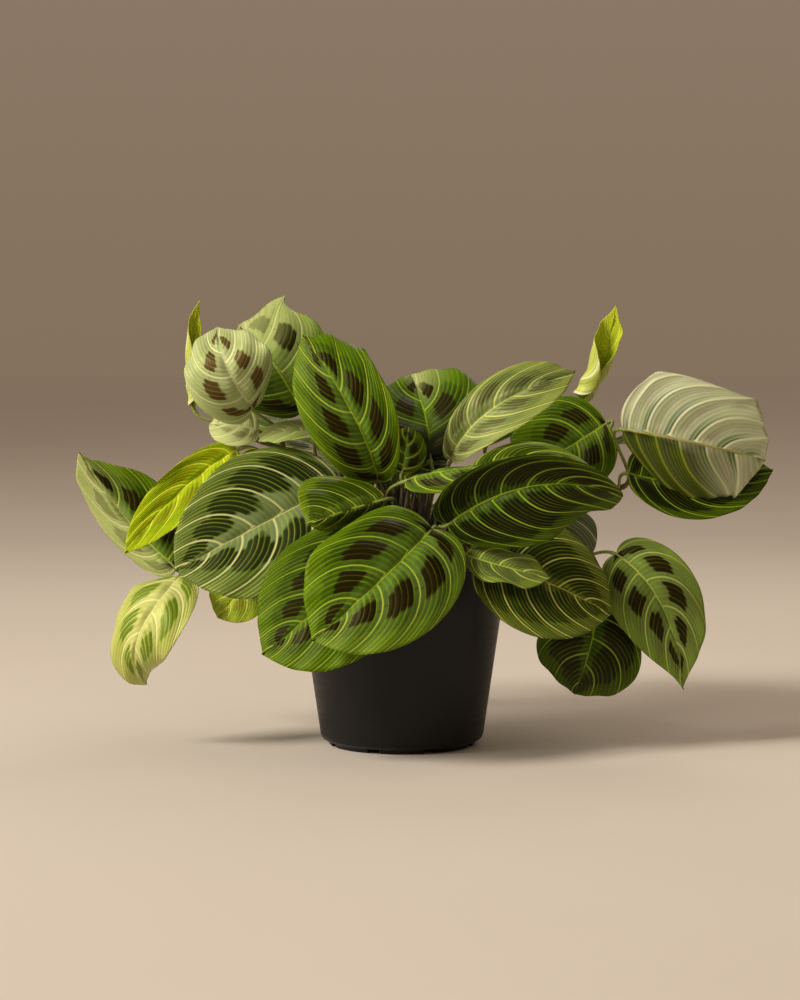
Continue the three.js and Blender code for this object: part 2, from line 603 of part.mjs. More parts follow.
function leafSolid(leaf) {
  const whole = bladeSolid(leaf).add(stalkSolid(leaf)).subtract(stemSolid(leaf.stem, FOOT_GAP));
  return largestBody(whole);
}

const group = new THREE.Group();

function addPiece(name, solid, look) {
  const material = new THREE.MeshStandardMaterial({ ...COLOURS[look], name: look });
  const mesh = new THREE.Mesh(geometryOf(solid), material);
  mesh.name = name;
  group.add(mesh);
}

const pot = potSolid();
addPiece('pot', pot.solid, 'pot');
addPiece('soil', soilSolid(pot.innerAt, pot.floorTop), 'soil');
for (const name of Object.keys(STEMS)) {
  addPiece(name, stemSolid(name), 'stem');
}
for (const [name, leaf] of Object.entries(LEAVES)) {
  addPiece(`leaf_${name}`, leafSolid(leaf), leaf.look ?? 'leaf');
}

export default group;
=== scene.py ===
# %% [markdown]
# # A potted prayer plant, dressed in Blender
#
# A prayer plant is a low, wide bush. Its stems sprawl out of the pot, and each leaf is an oval blade
# on a thin stalk. The model that is loaded first already has the pot, the soil, each stem and each
# leaf in place, as plain solids. This lesson makes the finer piece for each of them, and the
# finishes. Each cell does one thing and prints what it made.

import math
from types import SimpleNamespace

import bmesh
import bpy
import numpy as np
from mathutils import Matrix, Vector


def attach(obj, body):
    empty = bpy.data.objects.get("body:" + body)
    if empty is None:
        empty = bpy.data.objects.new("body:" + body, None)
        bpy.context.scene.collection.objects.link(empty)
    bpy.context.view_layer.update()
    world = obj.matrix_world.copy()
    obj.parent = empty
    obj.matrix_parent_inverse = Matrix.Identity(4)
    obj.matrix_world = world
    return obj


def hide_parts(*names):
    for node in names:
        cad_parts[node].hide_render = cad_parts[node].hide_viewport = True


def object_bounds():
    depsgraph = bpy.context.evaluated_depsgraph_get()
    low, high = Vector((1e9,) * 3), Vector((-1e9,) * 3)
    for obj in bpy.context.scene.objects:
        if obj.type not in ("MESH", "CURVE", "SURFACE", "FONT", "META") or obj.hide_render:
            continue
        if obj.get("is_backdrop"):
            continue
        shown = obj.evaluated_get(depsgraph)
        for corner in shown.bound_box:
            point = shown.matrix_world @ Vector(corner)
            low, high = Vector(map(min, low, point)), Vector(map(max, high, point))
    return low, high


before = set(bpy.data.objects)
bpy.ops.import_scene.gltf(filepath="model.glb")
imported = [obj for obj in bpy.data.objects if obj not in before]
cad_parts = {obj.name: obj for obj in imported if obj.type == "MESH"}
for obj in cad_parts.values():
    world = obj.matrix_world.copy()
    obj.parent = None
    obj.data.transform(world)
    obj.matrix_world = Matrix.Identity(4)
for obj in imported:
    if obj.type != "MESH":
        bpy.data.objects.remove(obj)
cad_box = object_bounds()
MM = 0.001
print("nodes:", len(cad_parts))
print("model box in mm:", [[round(value / MM) for value in corner] for corner in cad_box])

# %% [markdown]
# ## The camera
# The photograph seems to have been taken with a long lens from well back, a little above the middle
# of the leaves, looking slightly down. Its true distance isn't known, and 1.4 metres is an estimate.
# A long lens keeps the near and the far leaves almost the same size. The sensor's long side is the
# picture's height, because the picture is upright.

# %% Place the camera
SENSOR_SIDE = 36.0
FOCAL_PIXELS = 2545.0
PICTURE_HEIGHT = 1000.0
CAMERA_BACK = 1400 * MM
CAMERA_HEIGHT = 222 * MM
CAMERA_DIP = math.radians(3.564)
AXIS_OFFSET_PIXELS = 2.0

lens = bpy.data.cameras.new("camera")
lens.sensor_width = SENSOR_SIDE
lens.lens = FOCAL_PIXELS / PICTURE_HEIGHT * SENSOR_SIDE
lens.shift_x = -AXIS_OFFSET_PIXELS / PICTURE_HEIGHT
camera = bpy.data.objects.new("camera", lens)
camera.location = (0, -CAMERA_BACK, CAMERA_HEIGHT)
camera.rotation_euler = (math.radians(90) - CAMERA_DIP, 0, 0)
bpy.context.scene.collection.objects.link(camera)
bpy.context.scene.camera = camera
print("lens:", round(lens.lens, 1), "mm")

# %% [markdown]
# ## Colours and finishes
# A finish in Blender is a small web of nodes that ends in one shader. Building each web by hand gives
# long cells, so a short hand is made first. One helper adds a node, plugs in what it is given, and
# hands back the node's output as a wire. Wires can be added, multiplied and so on, almost as in plain
# arithmetic, and each such sum adds the node that works it out.

# %% Colours and wires
def tint(code):
    """A colour code such as #5F7A0E as the linear colour that Blender works in."""
    parts = [int(code[index:index + 2], 16) / 255 for index in (1, 3, 5)]
    linear = [part / 12.92 if part < 0.04 else ((part + 0.055) / 1.055) ** 2.4 for part in parts]
    return (*linear, 1)


def arithmetic(kind, swapped=False):
    """A way to work out a new wire from one or two others, by one node of this kind."""
    def result(wire, other=0.0):
        return wire.web.number(kind, *((other, wire) if swapped else (wire, other)))
    return result


class Wire:
    """The output of a node, which plain arithmetic can be done with."""

    def __init__(self, web, socket):
        self.web = web
        self.socket = socket

    __add__ = __radd__ = arithmetic("ADD")
    __sub__ = arithmetic("SUBTRACT")
    __rsub__ = arithmetic("SUBTRACT", swapped=True)
    __mul__ = __rmul__ = arithmetic("MULTIPLY")
    __truediv__ = arithmetic("DIVIDE")
    __pow__ = arithmetic("POWER")
    __abs__ = arithmetic("ABSOLUTE")
    root = arithmetic("SQRT")
    whole = arithmetic("FLOOR")
    fraction = arithmetic("FRACT")
    at_least = arithmetic("MAXIMUM")


print("test colour:", [round(part, 3) for part in tint("#5F7A0E")[:3]])

# %% A short hand for nodes
MOST_NOISE = (0.3, 0.7)  # most values of a noise lie in this range


class Web:
    """A web of nodes, with helpers that add nodes to it."""

    def __init__(self, tree):
        self.tree = tree

    def plug(self, socket, value):
        """Puts a wire, a number or a colour code into a socket."""
        if isinstance(value, Wire):
            self.tree.links.new(value.socket, socket)
        else:
            socket.default_value = tint(value) if isinstance(value, str) else value

    def node(self, kind, inputs=(), output=0, **settings):
        """Adds a node, sets it, plugs in what it is given, and hands one of its outputs back."""
        node = self.tree.nodes.new("ShaderNode" + kind)
        for name, value in settings.items():
            setattr(node, name, value)
        for name, value in dict(inputs).items():
            self.plug(node.inputs[name], value)
        return Wire(self, node.outputs[output])

    def number(self, kind, *values):
        """One number worked out from others, such as their sum."""
        return self.node("Math", enumerate(values), operation=kind)

    def step(self, value, span, result=(0, 1)):
        """Goes smoothly through the range result while value goes through the range span."""
        low, high = span
        start, end = result
        inputs = {"Value": value, "From Min": low, "From Max": high, "To Min": start, "To Max": end}
        return self.node("MapRange", inputs, "Result", interpolation_type="SMOOTHSTEP")

    def blend(self, share, first, second):
        """Goes from the first colour to the second one while share goes from 0 to 1."""
        return self.node("Mix", {0: share, 6: first, 7: second}, 2, data_type="RGBA", clamp_factor=True)

    def coats(self, colour, *layers):
        """The colour with layers of (share, colour) painted over it, one after the other."""
        for share, coat in layers:
            colour = self.blend(share, colour, coat)
        return colour

    def vector(self, x, y, z=0.0):
        """A vector made of single numbers."""
        return self.node("CombineXYZ", enumerate((x, y, z)))

    def split(self, vector):
        """The three single numbers of a vector."""
        node = self.node("SeparateXYZ", {0: vector}).socket.node
        return [Wire(self, socket) for socket in node.outputs]

    def noise(self, place, scale, detail=2.0, rough=0.5):
        """Soft random clouds between 0 and 1. A larger scale makes them smaller."""
        inputs = {"Vector": place, "Scale": scale, "Detail": detail, "Roughness": rough}
        return self.node("TexNoise", inputs, "Fac")

    def corner(self, layer):
        """The two numbers that a mesh keeps under the name of a UV layer."""
        return self.split(self.node("UVMap", uv_map=layer))[:2]

    def dice(self, value):
        """A random number from 0 to 1 that stays the same for the same whole value."""
        return self.node("TexWhiteNoise", {"W": value}, "Value", noise_dimensions="1D")

    def place(self):
        """Where a point lies in space, in metres."""
        return self.node("TexCoord", output="Object")


print("helpers of a web:", [name for name in vars(Web) if not name.startswith("_")])

# %% A finish
class Finish(Web):
    """One material and its web of nodes."""

    def __init__(self, name):
        self.material = bpy.data.materials.new(name)
        self.material.use_nodes = True
        super().__init__(self.material.node_tree)
        self.shader = self.tree.nodes["Principled BSDF"]

    def relief(self, height, depth):
        """Makes the surface look raised by height, with 1 standing for depth."""
        bump = self.node("Bump", {"Strength": 1.0, "Distance": depth, "Height": height})
        self.plug(self.shader.inputs["Normal"], bump)

    def wear(self, **given):
        """Sets the shader's sockets: colour and roughness may be wires, the rest are numbers."""
        for name, value in given.items():
            self.plug(self.shader.inputs[name.replace("_", " ")], value)
        return self.material


print("helpers that a finish adds:", [name for name in vars(Finish) if not name.startswith("_")])

# %% [markdown]
# ## Floor and light
# The floor is one wide pale plane. The photograph's light is soft and comes from the upper left, in
# front of the plant. A large area lamp far away gives such soft shadows. A weaker one lower down on
# the same side lights the pot, and one behind the plant draws thin bright edges. A lamp's spread says
# how wide its beam is: a narrow one keeps the floor right under the lamp from glaring. The world's
# even light fills what the lamps don't reach.

# %% The floor
FLOOR_SIDE = 30.0
FLOOR_DROP = 0.2 * MM


def floor_finish():
    """Pale and matt, with wide faint clouds."""
    finish = Finish("pale floor")
    colour = finish.blend(finish.noise(finish.place(), scale=3.0), "#CFC6BB", "#D6CEC4")
    return finish.wear(Base_Color=colour, Roughness=0.9)


bpy.ops.mesh.primitive_plane_add(size=FLOOR_SIDE, location=(0, 0, -FLOOR_DROP))
floor = bpy.context.active_object
floor.name = "floor"
floor.data.materials.append(floor_finish())
floor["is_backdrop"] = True
print("floor:", floor.name, FLOOR_SIDE, "m wide")

# %% Lamps and world
SKY_FADE = 0.7
SKY_STRENGTH = 1.0
LAMP_SPREAD = math.radians(90)
PLANT_MIDDLE = (0, 0, 140 * MM)
POT_MIDDLE = (0, 0, 50 * MM)
LAMPS = {
    "window lamp": dict(
        place=(-3.0, -2.0, 2.75), target=PLANT_MIDDLE, side=1.3, power=44.5, colour="#FFF6E8"),
    "side lamp": dict(
        place=(-3.2, -1.4, 1.2), target=POT_MIDDLE, side=0.9, power=8.5, colour="#FFF4EA"),
    "back lamp": dict(
        place=(0.5, 1.3, 1.3), target=PLANT_MIDDLE, side=1.0, power=1.7, colour="#FFF3E2"),
}


def lamp(name, place, target, side, power, colour):
    """A square area lamp that shines at its target."""
    light = bpy.data.lights.new(name, "AREA")
    light.shape = "SQUARE"
    light.size = side
    light.spread = LAMP_SPREAD
    light.energy = power
    light.color = tint(colour)[:3]
    item = bpy.data.objects.new(name, light)
    item.location = place
    item.rotation_euler = (Vector(target) - Vector(place)).to_track_quat("-Z", "Y").to_euler()
    bpy.context.scene.collection.objects.link(item)


for name, lamp_numbers in LAMPS.items():
    lamp(name, **lamp_numbers)
world = bpy.data.worlds.new("studio")
bpy.context.scene.world = world
world.use_nodes = True
sky = Web(world.node_tree)
height = sky.split(sky.node("TexCoord", output="Generated"))[2]
fade = sky.node("MapRange", {"Value": height, "From Max": SKY_FADE}, "Result")
background = sky.tree.nodes["Background"]
sky.plug(background.inputs["Color"], sky.blend(fade, "#84725E", "#A09080"))
background.inputs["Strength"].default_value = SKY_STRENGTH
bpy.context.scene.view_settings.view_transform = "Standard"

# %% [markdown]
# ## Building meshes from lists
# Every piece below is worked out as points and faces, so one cell turns such lists into an object.
# It also hangs the piece under the root and hides the plain node that the piece stands for.

# %% From points and faces to a piece
def build(name, points, faces, finishes, node, sides=None, corners=None, smooth_angle=180):
    """A mesh piece. sides gives each face its finish, and corners gives each point its UV places."""
    mesh = bpy.data.meshes.new(name)
    mesh.from_pydata([tuple(point) for point in points], [], [tuple(face) for face in faces])
    for finish in finishes:
        mesh.materials.append(finish)
    if sides is not None:
        mesh.polygons.foreach_set("material_index", sides)
    used = np.zeros(len(mesh.loops), dtype=int)
    mesh.loops.foreach_get("vertex_index", used)
    for layer, places in (corners or {}).items():
        mesh.uv_layers.new(name=layer).data.foreach_set("uv", places[used].ravel())
    mesh.shade_smooth()
    if smooth_angle < 180:
        mesh.set_sharp_from_angle(angle=math.radians(smooth_angle))
    piece = bpy.data.objects.new(name, mesh)
    bpy.context.scene.collection.objects.link(piece)
    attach(piece, "root")
    if node:
        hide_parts(node)
    return piece


def tidy(piece, merge=0.0):
    """Joins points that lie together and turns all faces outwards."""
    work = bmesh.new()
    work.from_mesh(piece.data)
    if merge:
        bmesh.ops.remove_doubles(work, verts=work.verts, dist=merge)
    bmesh.ops.recalc_face_normals(work, faces=work.faces)
    work.to_mesh(piece.data)
    work.free()


# %% [markdown]
# ## The pot
# The real pot is a thin black plastic nursery pot, moulded in one piece. Such pots have a turned-out
# rim, a rounded lower edge, a foot ring with small notches, and drain holes. The photograph doesn't
# show the foot from below, so the holes are those of a common pot. A pot could be carved from a
# cylinder, but a turned profile is closer to how its mould was made: one outline, swept round the
# axis. The corners of the outline are rounded first, and the notches and drains are cut afterwards.

# %% The pot's outline
POT_HEIGHT = 105 * MM
FOOT_RADIUS = 45.1 * MM
MOUTH_RADIUS = 59.4 * MM
POT_WALL = 1.3 * MM
WALL_START = 6 * MM
RIM_LIP = 2.6 * MM
RIM_DEPTH = 6 * MM
FLOOR_RISE = 3.4 * MM
FLOOR_CORNER = 2.4 * MM
FOOT_RING = 38.5 * MM
FOOT_RING_WIDTH = 3.4 * MM
FOOT_CHAMFER = 2.6 * MM
EDGE_ROUND = 1.2 * MM
HUB_RADIUS = 12 * MM
HUB_SLOPE = 0.8 * MM
RING_SLOPE = 0.6 * MM
RING_STEP = 2 * MM
SOFT_CORNER = 0.5 * MM
SOFT_SHARE = 0.45


def wall_at(height):
    """The pot's outer radius at a height."""
    slope = (MOUTH_RADIUS - FOOT_RADIUS) / (POT_HEIGHT - WALL_START)
    return FOOT_RADIUS + slope * (height - WALL_START)


def inner_at(height):
    """The pot's inner radius at a height."""
    return wall_at(height) - POT_WALL


def rounded(outline, reach, steps=3):
    """The outline with each inner corner replaced by a small arc."""
    result = [outline[0]]
    for before, corner, after in zip(outline, outline[1:], outline[2:]):
        start = corner + (before - corner) * min(SOFT_SHARE, reach / np.linalg.norm(before - corner))
        end = corner + (after - corner) * min(SOFT_SHARE, reach / np.linalg.norm(after - corner))
        for share in np.linspace(0, 1, steps + 1):
            result.append((1 - share) ** 2 * start + 2 * share * (1 - share) * corner + share ** 2 * end)
    result.append(outline[-1])
    return result


floor_top = FLOOR_RISE + POT_WALL
rim_bottom = POT_HEIGHT - RIM_DEPTH
ring_in = FOOT_RING - FOOT_RING_WIDTH / 2
ring_out = FOOT_RING + FOOT_RING_WIDTH / 2
foot_hub = [(0, 0), (HUB_RADIUS, 0), (HUB_RADIUS + HUB_SLOPE, FLOOR_RISE)]
foot_ring = [
    (ring_in - RING_SLOPE, FLOOR_RISE),
    (ring_in, 0),
    (ring_out, 0),
    (ring_out + RING_SLOPE, RING_STEP),
]
lower_edge = [
    (FOOT_RADIUS - FOOT_CHAMFER, FOOT_CHAMFER),
    (FOOT_RADIUS - FOOT_CHAMFER / 3, FOOT_CHAMFER + EDGE_ROUND),
    (wall_at(WALL_START), WALL_START),
]
rim = [
    (wall_at(rim_bottom - EDGE_ROUND), rim_bottom - EDGE_ROUND),
    (wall_at(rim_bottom) + RIM_LIP - EDGE_ROUND, rim_bottom),
    (wall_at(rim_bottom) + RIM_LIP, rim_bottom + EDGE_ROUND),
    (wall_at(POT_HEIGHT) + RIM_LIP, POT_HEIGHT - EDGE_ROUND),
    (wall_at(POT_HEIGHT) + RIM_LIP - EDGE_ROUND, POT_HEIGHT),
    (inner_at(POT_HEIGHT) + EDGE_ROUND / 2, POT_HEIGHT),
    (inner_at(POT_HEIGHT), POT_HEIGHT - EDGE_ROUND),
]
inside = [
    (inner_at(floor_top + FLOOR_CORNER), floor_top + FLOOR_CORNER),
    (inner_at(floor_top) - FLOOR_CORNER, floor_top),
    (0, floor_top),
]
pot_outline = [np.array(point) for point in foot_hub + foot_ring + lower_edge + rim + inside]
pot_outline = rounded(pot_outline, SOFT_CORNER)
print("points in the pot's outline:", len(pot_outline))

# %% Sweep an outline and cut blocks out of a piece
def swept(outline, steps):
    """Points and faces of an outline of (radius, height) turned round the axis."""
    turns = np.linspace(0, 2 * math.pi, steps, endpoint=False)
    points = [(r * math.cos(turn), r * math.sin(turn), z) for turn in turns for r, z in outline]
    count = len(outline)
    faces = []
    for step in range(steps):
        here = step * count
        there = ((step + 1) % steps) * count
        faces += [(here + i, there + i, there + i + 1, here + i + 1) for i in range(count - 1)]
    return points, faces


def cutter(name, add, turn, ring, **sizes):
    """A cutting block at a place on a ring round the axis."""
    add(location=(ring * math.cos(turn), ring * math.sin(turn), 0), rotation=(0, 0, turn), **sizes)
    block = bpy.context.active_object
    block.name = name
    return block


def cut(piece, blocks):
    """Takes the blocks out of the piece and throws the blocks away."""
    with bpy.context.temp_override(active_object=blocks[0], selected_editable_objects=blocks):
        bpy.ops.object.join()
    modifier = piece.modifiers.new("cut", "BOOLEAN")
    modifier.object = blocks[0]
    modifier.solver = "EXACT"
    bpy.context.view_layer.update()
    cut_mesh = bpy.data.meshes.new_from_object(piece.evaluated_get(bpy.context.evaluated_depsgraph_get()))
    piece.modifiers.clear()
    piece.data = cut_mesh
    bpy.data.objects.remove(blocks[0])


print("faces of the uncut pot:", len(swept(pot_outline, 4)[1]) // 4, "for each step round the axis")

# %% [markdown]
# ## Black nursery plastic
# The pot's plastic is black with a satin shine. Up close it has a fine moulded grain and faint flow
# lines that lie flat round the pot, and some dust clings to it. Plain black would look like a hole in
# the picture, so the grain and the dust come from noise, which is squeezed in height for the lines.

# %% The pot's finish, and the pot
POT_STEPS = 144
POT_MERGE = 0.001 * MM
POT_EDGE_ANGLE = math.radians(35)
PLASTIC_RELIEF = 0.05 * MM
NOTCH_COUNT = 8
NOTCH_WIDTH = 7 * MM
NOTCH_HEIGHT = 2.4 * MM
NOTCH_HALF_SIZES = (FOOT_RING_WIDTH + 1 * MM, NOTCH_WIDTH / 2, NOTCH_HEIGHT)
DRAIN_COUNT = 6
DRAIN_RADIUS = 3.6 * MM
DRAIN_RING = 27 * MM
DRAIN_SIDES = 24


def pot_finish():
    """Satin black plastic with a fine moulded grain, faint flow lines and a little dust."""
    finish = Finish("black nursery plastic")
    place = finish.place()
    x, y, z = finish.split(place)
    grain = finish.noise(place, scale=1400.0, detail=2.0)
    flow = finish.noise(finish.vector(x * 30, y * 30, z * 420), scale=1.0)
    dust = finish.step(finish.noise(place, scale=210.0, detail=4.0, rough=0.7), (0.62, 0.8))
    worn = finish.blend(dust * 0.35, "#0C0B0A", "#24211E")
    colour = finish.blend(finish.step(flow, (0.3, 0.75), (0, 0.35)), worn, "#131211")
    rough = finish.step(flow, (0.25, 0.75), (0.4, 0.48)) + dust * 0.12
    finish.relief(grain * 0.6 + flow * 0.4, PLASTIC_RELIEF)
    return finish.wear(Base_Color=colour, Roughness=rough, Specular_IOR_Level=0.25)


points, faces = swept(pot_outline, POT_STEPS)
pot = build("nursery_pot", points, faces, [pot_finish()], "pot")
tidy(pot, merge=POT_MERGE)
add_cube, add_cylinder = bpy.ops.mesh.primitive_cube_add, bpy.ops.mesh.primitive_cylinder_add
notch_turns = [2 * math.pi * (index + 0.5) / NOTCH_COUNT for index in range(NOTCH_COUNT)]
drain_turns = [2 * math.pi * index / DRAIN_COUNT for index in range(DRAIN_COUNT)]
drain_sizes = dict(radius=DRAIN_RADIUS, depth=4 * floor_top, vertices=DRAIN_SIDES)
blocks = [cutter("notch", add_cube, turn, FOOT_RING, scale=NOTCH_HALF_SIZES) for turn in notch_turns]
blocks += [cutter("drain", add_cylinder, turn, DRAIN_RING, **drain_sizes) for turn in drain_turns]
cut(pot, blocks)
pot.data.shade_smooth()
pot.data.set_sharp_from_angle(angle=POT_EDGE_ANGLE)
print("pot faces:", len(pot.data.polygons))

# %% [markdown]
# ## The potting soil
# The leaves hide the soil in the photograph. It is taken to be a dark peat mix, loose and crumbly on
# top, as is usual. A flat disc would look like a lid. So the top is a fine grid raised by a few sums
# of waves, and crumbs and white grains lie on it. The crumbs could come from a particle system, but
# a seeded loop gives the same heap on every run.

# %% The plug of soil
SOIL_LEVEL = 91 * MM
SOIL_SWELL = 2.2 * MM
SEAT_GAP = 0.35 * MM
SOIL_RINGS = 40
SOIL_STEPS = 120
SOIL_RELIEF = 1.2 * MM
crumb_draw = np.random.default_rng(5)


def soil_height(x, y):
    """The soil's level: a mound with slow bumps and finer ones on them, level at the pot's wall."""
    across, along = x / MM, y / MM
    reach = np.hypot(x, y) / inner_at(SOIL_LEVEL)
    bumps = np.sin(across * 0.19 + 1) * np.cos(along * 0.23) + 0.5 * np.sin(across * 0.41 - along * 0.37)
    fine = 0.16 * np.sin(across * 1.3 + along * 0.7) + 0.14 * np.sin(along * 1.7 - across * 0.6)
    return SOIL_LEVEL + SOIL_SWELL * ((bumps + fine) * (1 - reach ** 4) + 1.2 * (1 - reach ** 2))


def soil_finish():
    """Dark peat, with lumps and with fibres in between."""
    finish = Finish("peat mix")
    place = finish.place()
    lumps = finish.noise(place, scale=260.0, detail=6.0, rough=0.7)
    fibres = finish.noise(place, scale=900.0, detail=4.0, rough=0.6)
    colour = finish.blend(finish.step(lumps, MOST_NOISE), "#1A110B", "#4A3423")
    finish.relief(lumps + fibres * 0.5, SOIL_RELIEF)
    return finish.wear(Base_Color=colour, Roughness=0.95)


soil_skin = soil_finish()
soil_radius = inner_at(SOIL_LEVEL) - 1.5 * SEAT_GAP
low_radius = inner_at(floor_top) - FLOOR_CORNER - 2 * SEAT_GAP
outline = [(low_radius, floor_top + SEAT_GAP), (soil_radius, SOIL_LEVEL)]
outline += [(soil_radius * (1 - i / SOIL_RINGS), SOIL_LEVEL) for i in range(1, SOIL_RINGS + 1)]
outline = [(0, floor_top + SEAT_GAP)] + outline
points, faces = swept(outline, SOIL_STEPS)
points = [(x, y, z if z < SOIL_LEVEL else soil_height(x, y)) for x, y, z in points]
soil = build("potting_soil", points, faces, [soil_skin], "soil")
tidy(soil, merge=POT_MERGE)
print("soil top in mm:", round(max(point[2] for point in points) / MM, 1))

# %% Crumbs and white grains on the soil
CRUMB_COUNT = 700
GRAIN_COUNT = 60
CRUMB_SIZES = (0.6, 2.0)
GRAIN_SIZES = (0.5, 1.3)
CRUMB_EDGE = 3 * MM
CRUMB_RISE = 0.2
CRUMB_JAGS = (0.6, 1.1)
CRUMB_STRETCH = (0.7, 1.3)
GRAIN_RELIEF = 0.2 * MM


def crumbs(count, sizes, flat):
    """Small jagged lumps strewn over the soil, with sizes in millimetres: all points and faces."""
    shape = bmesh.new()
    bmesh.ops.create_icosphere(shape, subdivisions=1, radius=1)
    ball = np.array([vertex.co for vertex in shape.verts])
    sides = [[vertex.index for vertex in face.verts] for face in shape.faces]
    shape.free()
    points = []
    faces = []
    for _ in range(count):
        reach = (inner_at(SOIL_LEVEL) - CRUMB_EDGE) * math.sqrt(crumb_draw.random())
        turn = crumb_draw.uniform(0, 2 * math.pi)
        x, y = reach * math.cos(turn), reach * math.sin(turn)
        size = crumb_draw.uniform(*sizes) * MM
        lump = ball * crumb_draw.uniform(*CRUMB_JAGS, (len(ball), 1)) * size
        lump = lump * (crumb_draw.uniform(*CRUMB_STRETCH), crumb_draw.uniform(*CRUMB_STRETCH), flat)
        faces += [[len(points) + corner for corner in side] for side in sides]
        points += list(lump + (x, y, soil_height(x, y) + CRUMB_RISE * size))
    return points, faces


def grain_finish():
    """Off-white and dull, with fine pores."""
    finish = Finish("white grain")
    pores = finish.noise(finish.place(), scale=1500.0, detail=3.0)
    finish.relief(pores, GRAIN_RELIEF)
    return finish.wear(Base_Color=finish.blend(pores, "#A79F92", "#E0DBD0"), Roughness=0.9)


points, faces = crumbs(CRUMB_COUNT, CRUMB_SIZES, flat=0.7)
build("peat_crumbs", points, faces, [soil_skin], None, smooth_angle=40)
points, faces = crumbs(GRAIN_COUNT, GRAIN_SIZES, flat=0.8)
build("white_grains", points, faces, [grain_finish()], None, smooth_angle=40)
print("crumbs and grains:", CRUMB_COUNT + GRAIN_COUNT)

# %% [markdown]
# ## Curves and tubes
# Stems and stalks are tubes along curves. A stem is given by a few points, and the curve between them
# is the same smooth one that the plain model uses, so that a stalk still meets its stem. A tube
# needs a ring of points at each step, turned as little as possible from one ring to the next.

# %% Smooth curves
STEMS = {
    "stem_left": [(-16, -8, 74), (-34, -12, 116), (-60, -4, 132), (-90, 6, 134), (-114, 8, 120)],
    "stem_upper_left": [(-10, 8, 74), (-22, 18, 118), (-40, 24, 146), (-62, 26, 160), (-84, 24, 168)],
    "stem_centre": [(-4, -6, 74), (-6, -10, 106), (-10, -10, 136)],
    "stem_front": [(8, -18, 74), (14, -28, 102), (20, -34, 118)],
    "stem_back_centre": [(8, 6, 74), (12, 9, 116), (18, 10, 144)],
    "stem_right": [(18, 4, 74), (42, 14, 116), (80, 30, 134), (124, 32, 140)],
    "stem_low_right": [(16, -10, 74), (36, -20, 106), (66, -24, 114), (98, -14, 104)],
    "stem_back_left": [(-8, 14, 74), (-24, 36, 114), (-50, 66, 134), (-78, 92, 132)],
    "stem_back": [(2, 18, 74), (6, 44, 116), (4, 76, 136), (0, 100, 134)],
    "stem_back_right": [(14, 14, 74), (34, 40, 116), (60, 66, 136), (86, 86, 132)],
    "stem_cut": [(-2, 4, 74), (0, -8, 112), (1, -20, 143)],
}
CURVE_STEPS = 60
STEM_STEPS = 60


def hermite(start, end, start_slope, end_slope, share):
    """A smooth stretch between two points that leaves and arrives along the given slopes."""
    share = share[:, None]
    from_start = (2 * share ** 3 - 3 * share ** 2 + 1) * start
    leaving = (share ** 3 - 2 * share ** 2 + share) * start_slope
    to_end = (3 * share ** 2 - 2 * share ** 3) * end
    arriving = (share ** 3 - share ** 2) * end_slope
    return from_start + leaving + to_end + arriving


def line_length(line):
    """The length of a line of points."""
    return np.linalg.norm(np.diff(line, axis=0), axis=1).sum()


def even(line, steps):
    """The same line with its points evenly spaced."""
    lengths = np.concatenate([[0], np.cumsum(np.linalg.norm(np.diff(line, axis=0), axis=1))])
    wanted = np.linspace(0, lengths[-1], steps + 1)
    return np.stack([np.interp(wanted, lengths, line[:, axis]) for axis in range(3)], axis=1)


def stem_line(name, steps):
    """Evenly spaced points along a stem, in metres: a centripetal curve through its points."""
    given = np.array(STEMS[name], dtype=float) * MM
    given = np.vstack([2 * given[0] - given[1], given, 2 * given[-1] - given[-2]])
    line = []
    for p0, p1, p2, p3 in zip(given, given[1:], given[2:], given[3:]):
        d0, d1, d2 = [math.sqrt(np.linalg.norm(b - a)) for a, b in ((p0, p1), (p1, p2), (p2, p3))]
        slope1 = ((p1 - p0) / d0 - (p2 - p0) / (d0 + d1) + (p2 - p1) / d1) * d1
        slope2 = ((p2 - p1) / d1 - (p3 - p1) / (d1 + d2) + (p3 - p2) / d2) * d1
        line.append(hermite(p1, p2, slope1, slope2, np.linspace(0, 1, CURVE_STEPS)))
    return even(np.vstack(line), steps)


print("length of the front stem in mm:", round(line_length(stem_line("stem_front", STEM_STEPS)) / MM))

# %% A tube along a curve
FIRST_SIDE = np.array([0.3, 1.0, 0.2])


def tube(line, radii, sides):
    """Points and faces of a closed tube along a line, with a radius for each point."""
    side = FIRST_SIDE
    turns = np.linspace(0, 2 * math.pi, sides, endpoint=False)
    points = []
    for index, point in enumerate(line):
        ahead = line[min(index + 1, len(line) - 1)] - line[max(index - 1, 0)]
        ahead = ahead / np.linalg.norm(ahead)
        side = side - ahead * side.dot(ahead)
        side = side / np.linalg.norm(side)
        up = np.cross(ahead, side)
        points += [point + radii[index] * (side * math.cos(t) + up * math.sin(t)) for t in turns]
    faces = []
    for ring in range(len(line) - 1):
        here = ring * sides
        faces += [(here + i, here + (i + 1) % sides, here + sides + (i + 1) % sides, here + sides + i)
                  for i in range(sides)]
    last = (len(line) - 1) * sides
    faces.append(tuple(range(sides - 1, -1, -1)))
    faces.append(tuple(range(last, last + sides)))
    return points, faces


test_line = stem_line("stem_front", 2)
print("faces of a tube with 2 steps and 6 sides:", len(tube(test_line, [MM] * 3, 6)[1]))

# %% [markdown]
# ## The stems
# A prayer plant's stem is jointed like a thin cane: smooth green stretches, with a swollen ring and a
# dry brown sheath edge where each leaf grew. The swelling is a bump in the tube's radius. The
# finish turns from green to pinkish brown by noise along the stem, with fine lines along it.

# %% Stems with joints
STEM_RADIUS = 2.2 * MM
STEM_TAPER = 0.7
JOINT_EVERY = 19 * MM
JOINT_SWELL = 0.3
JOINT_LENGTH = 1.6 * MM
STEM_SLIMMING = 0.96
STEM_RELIEF = 0.3 * MM
STEM_SIDES = 14


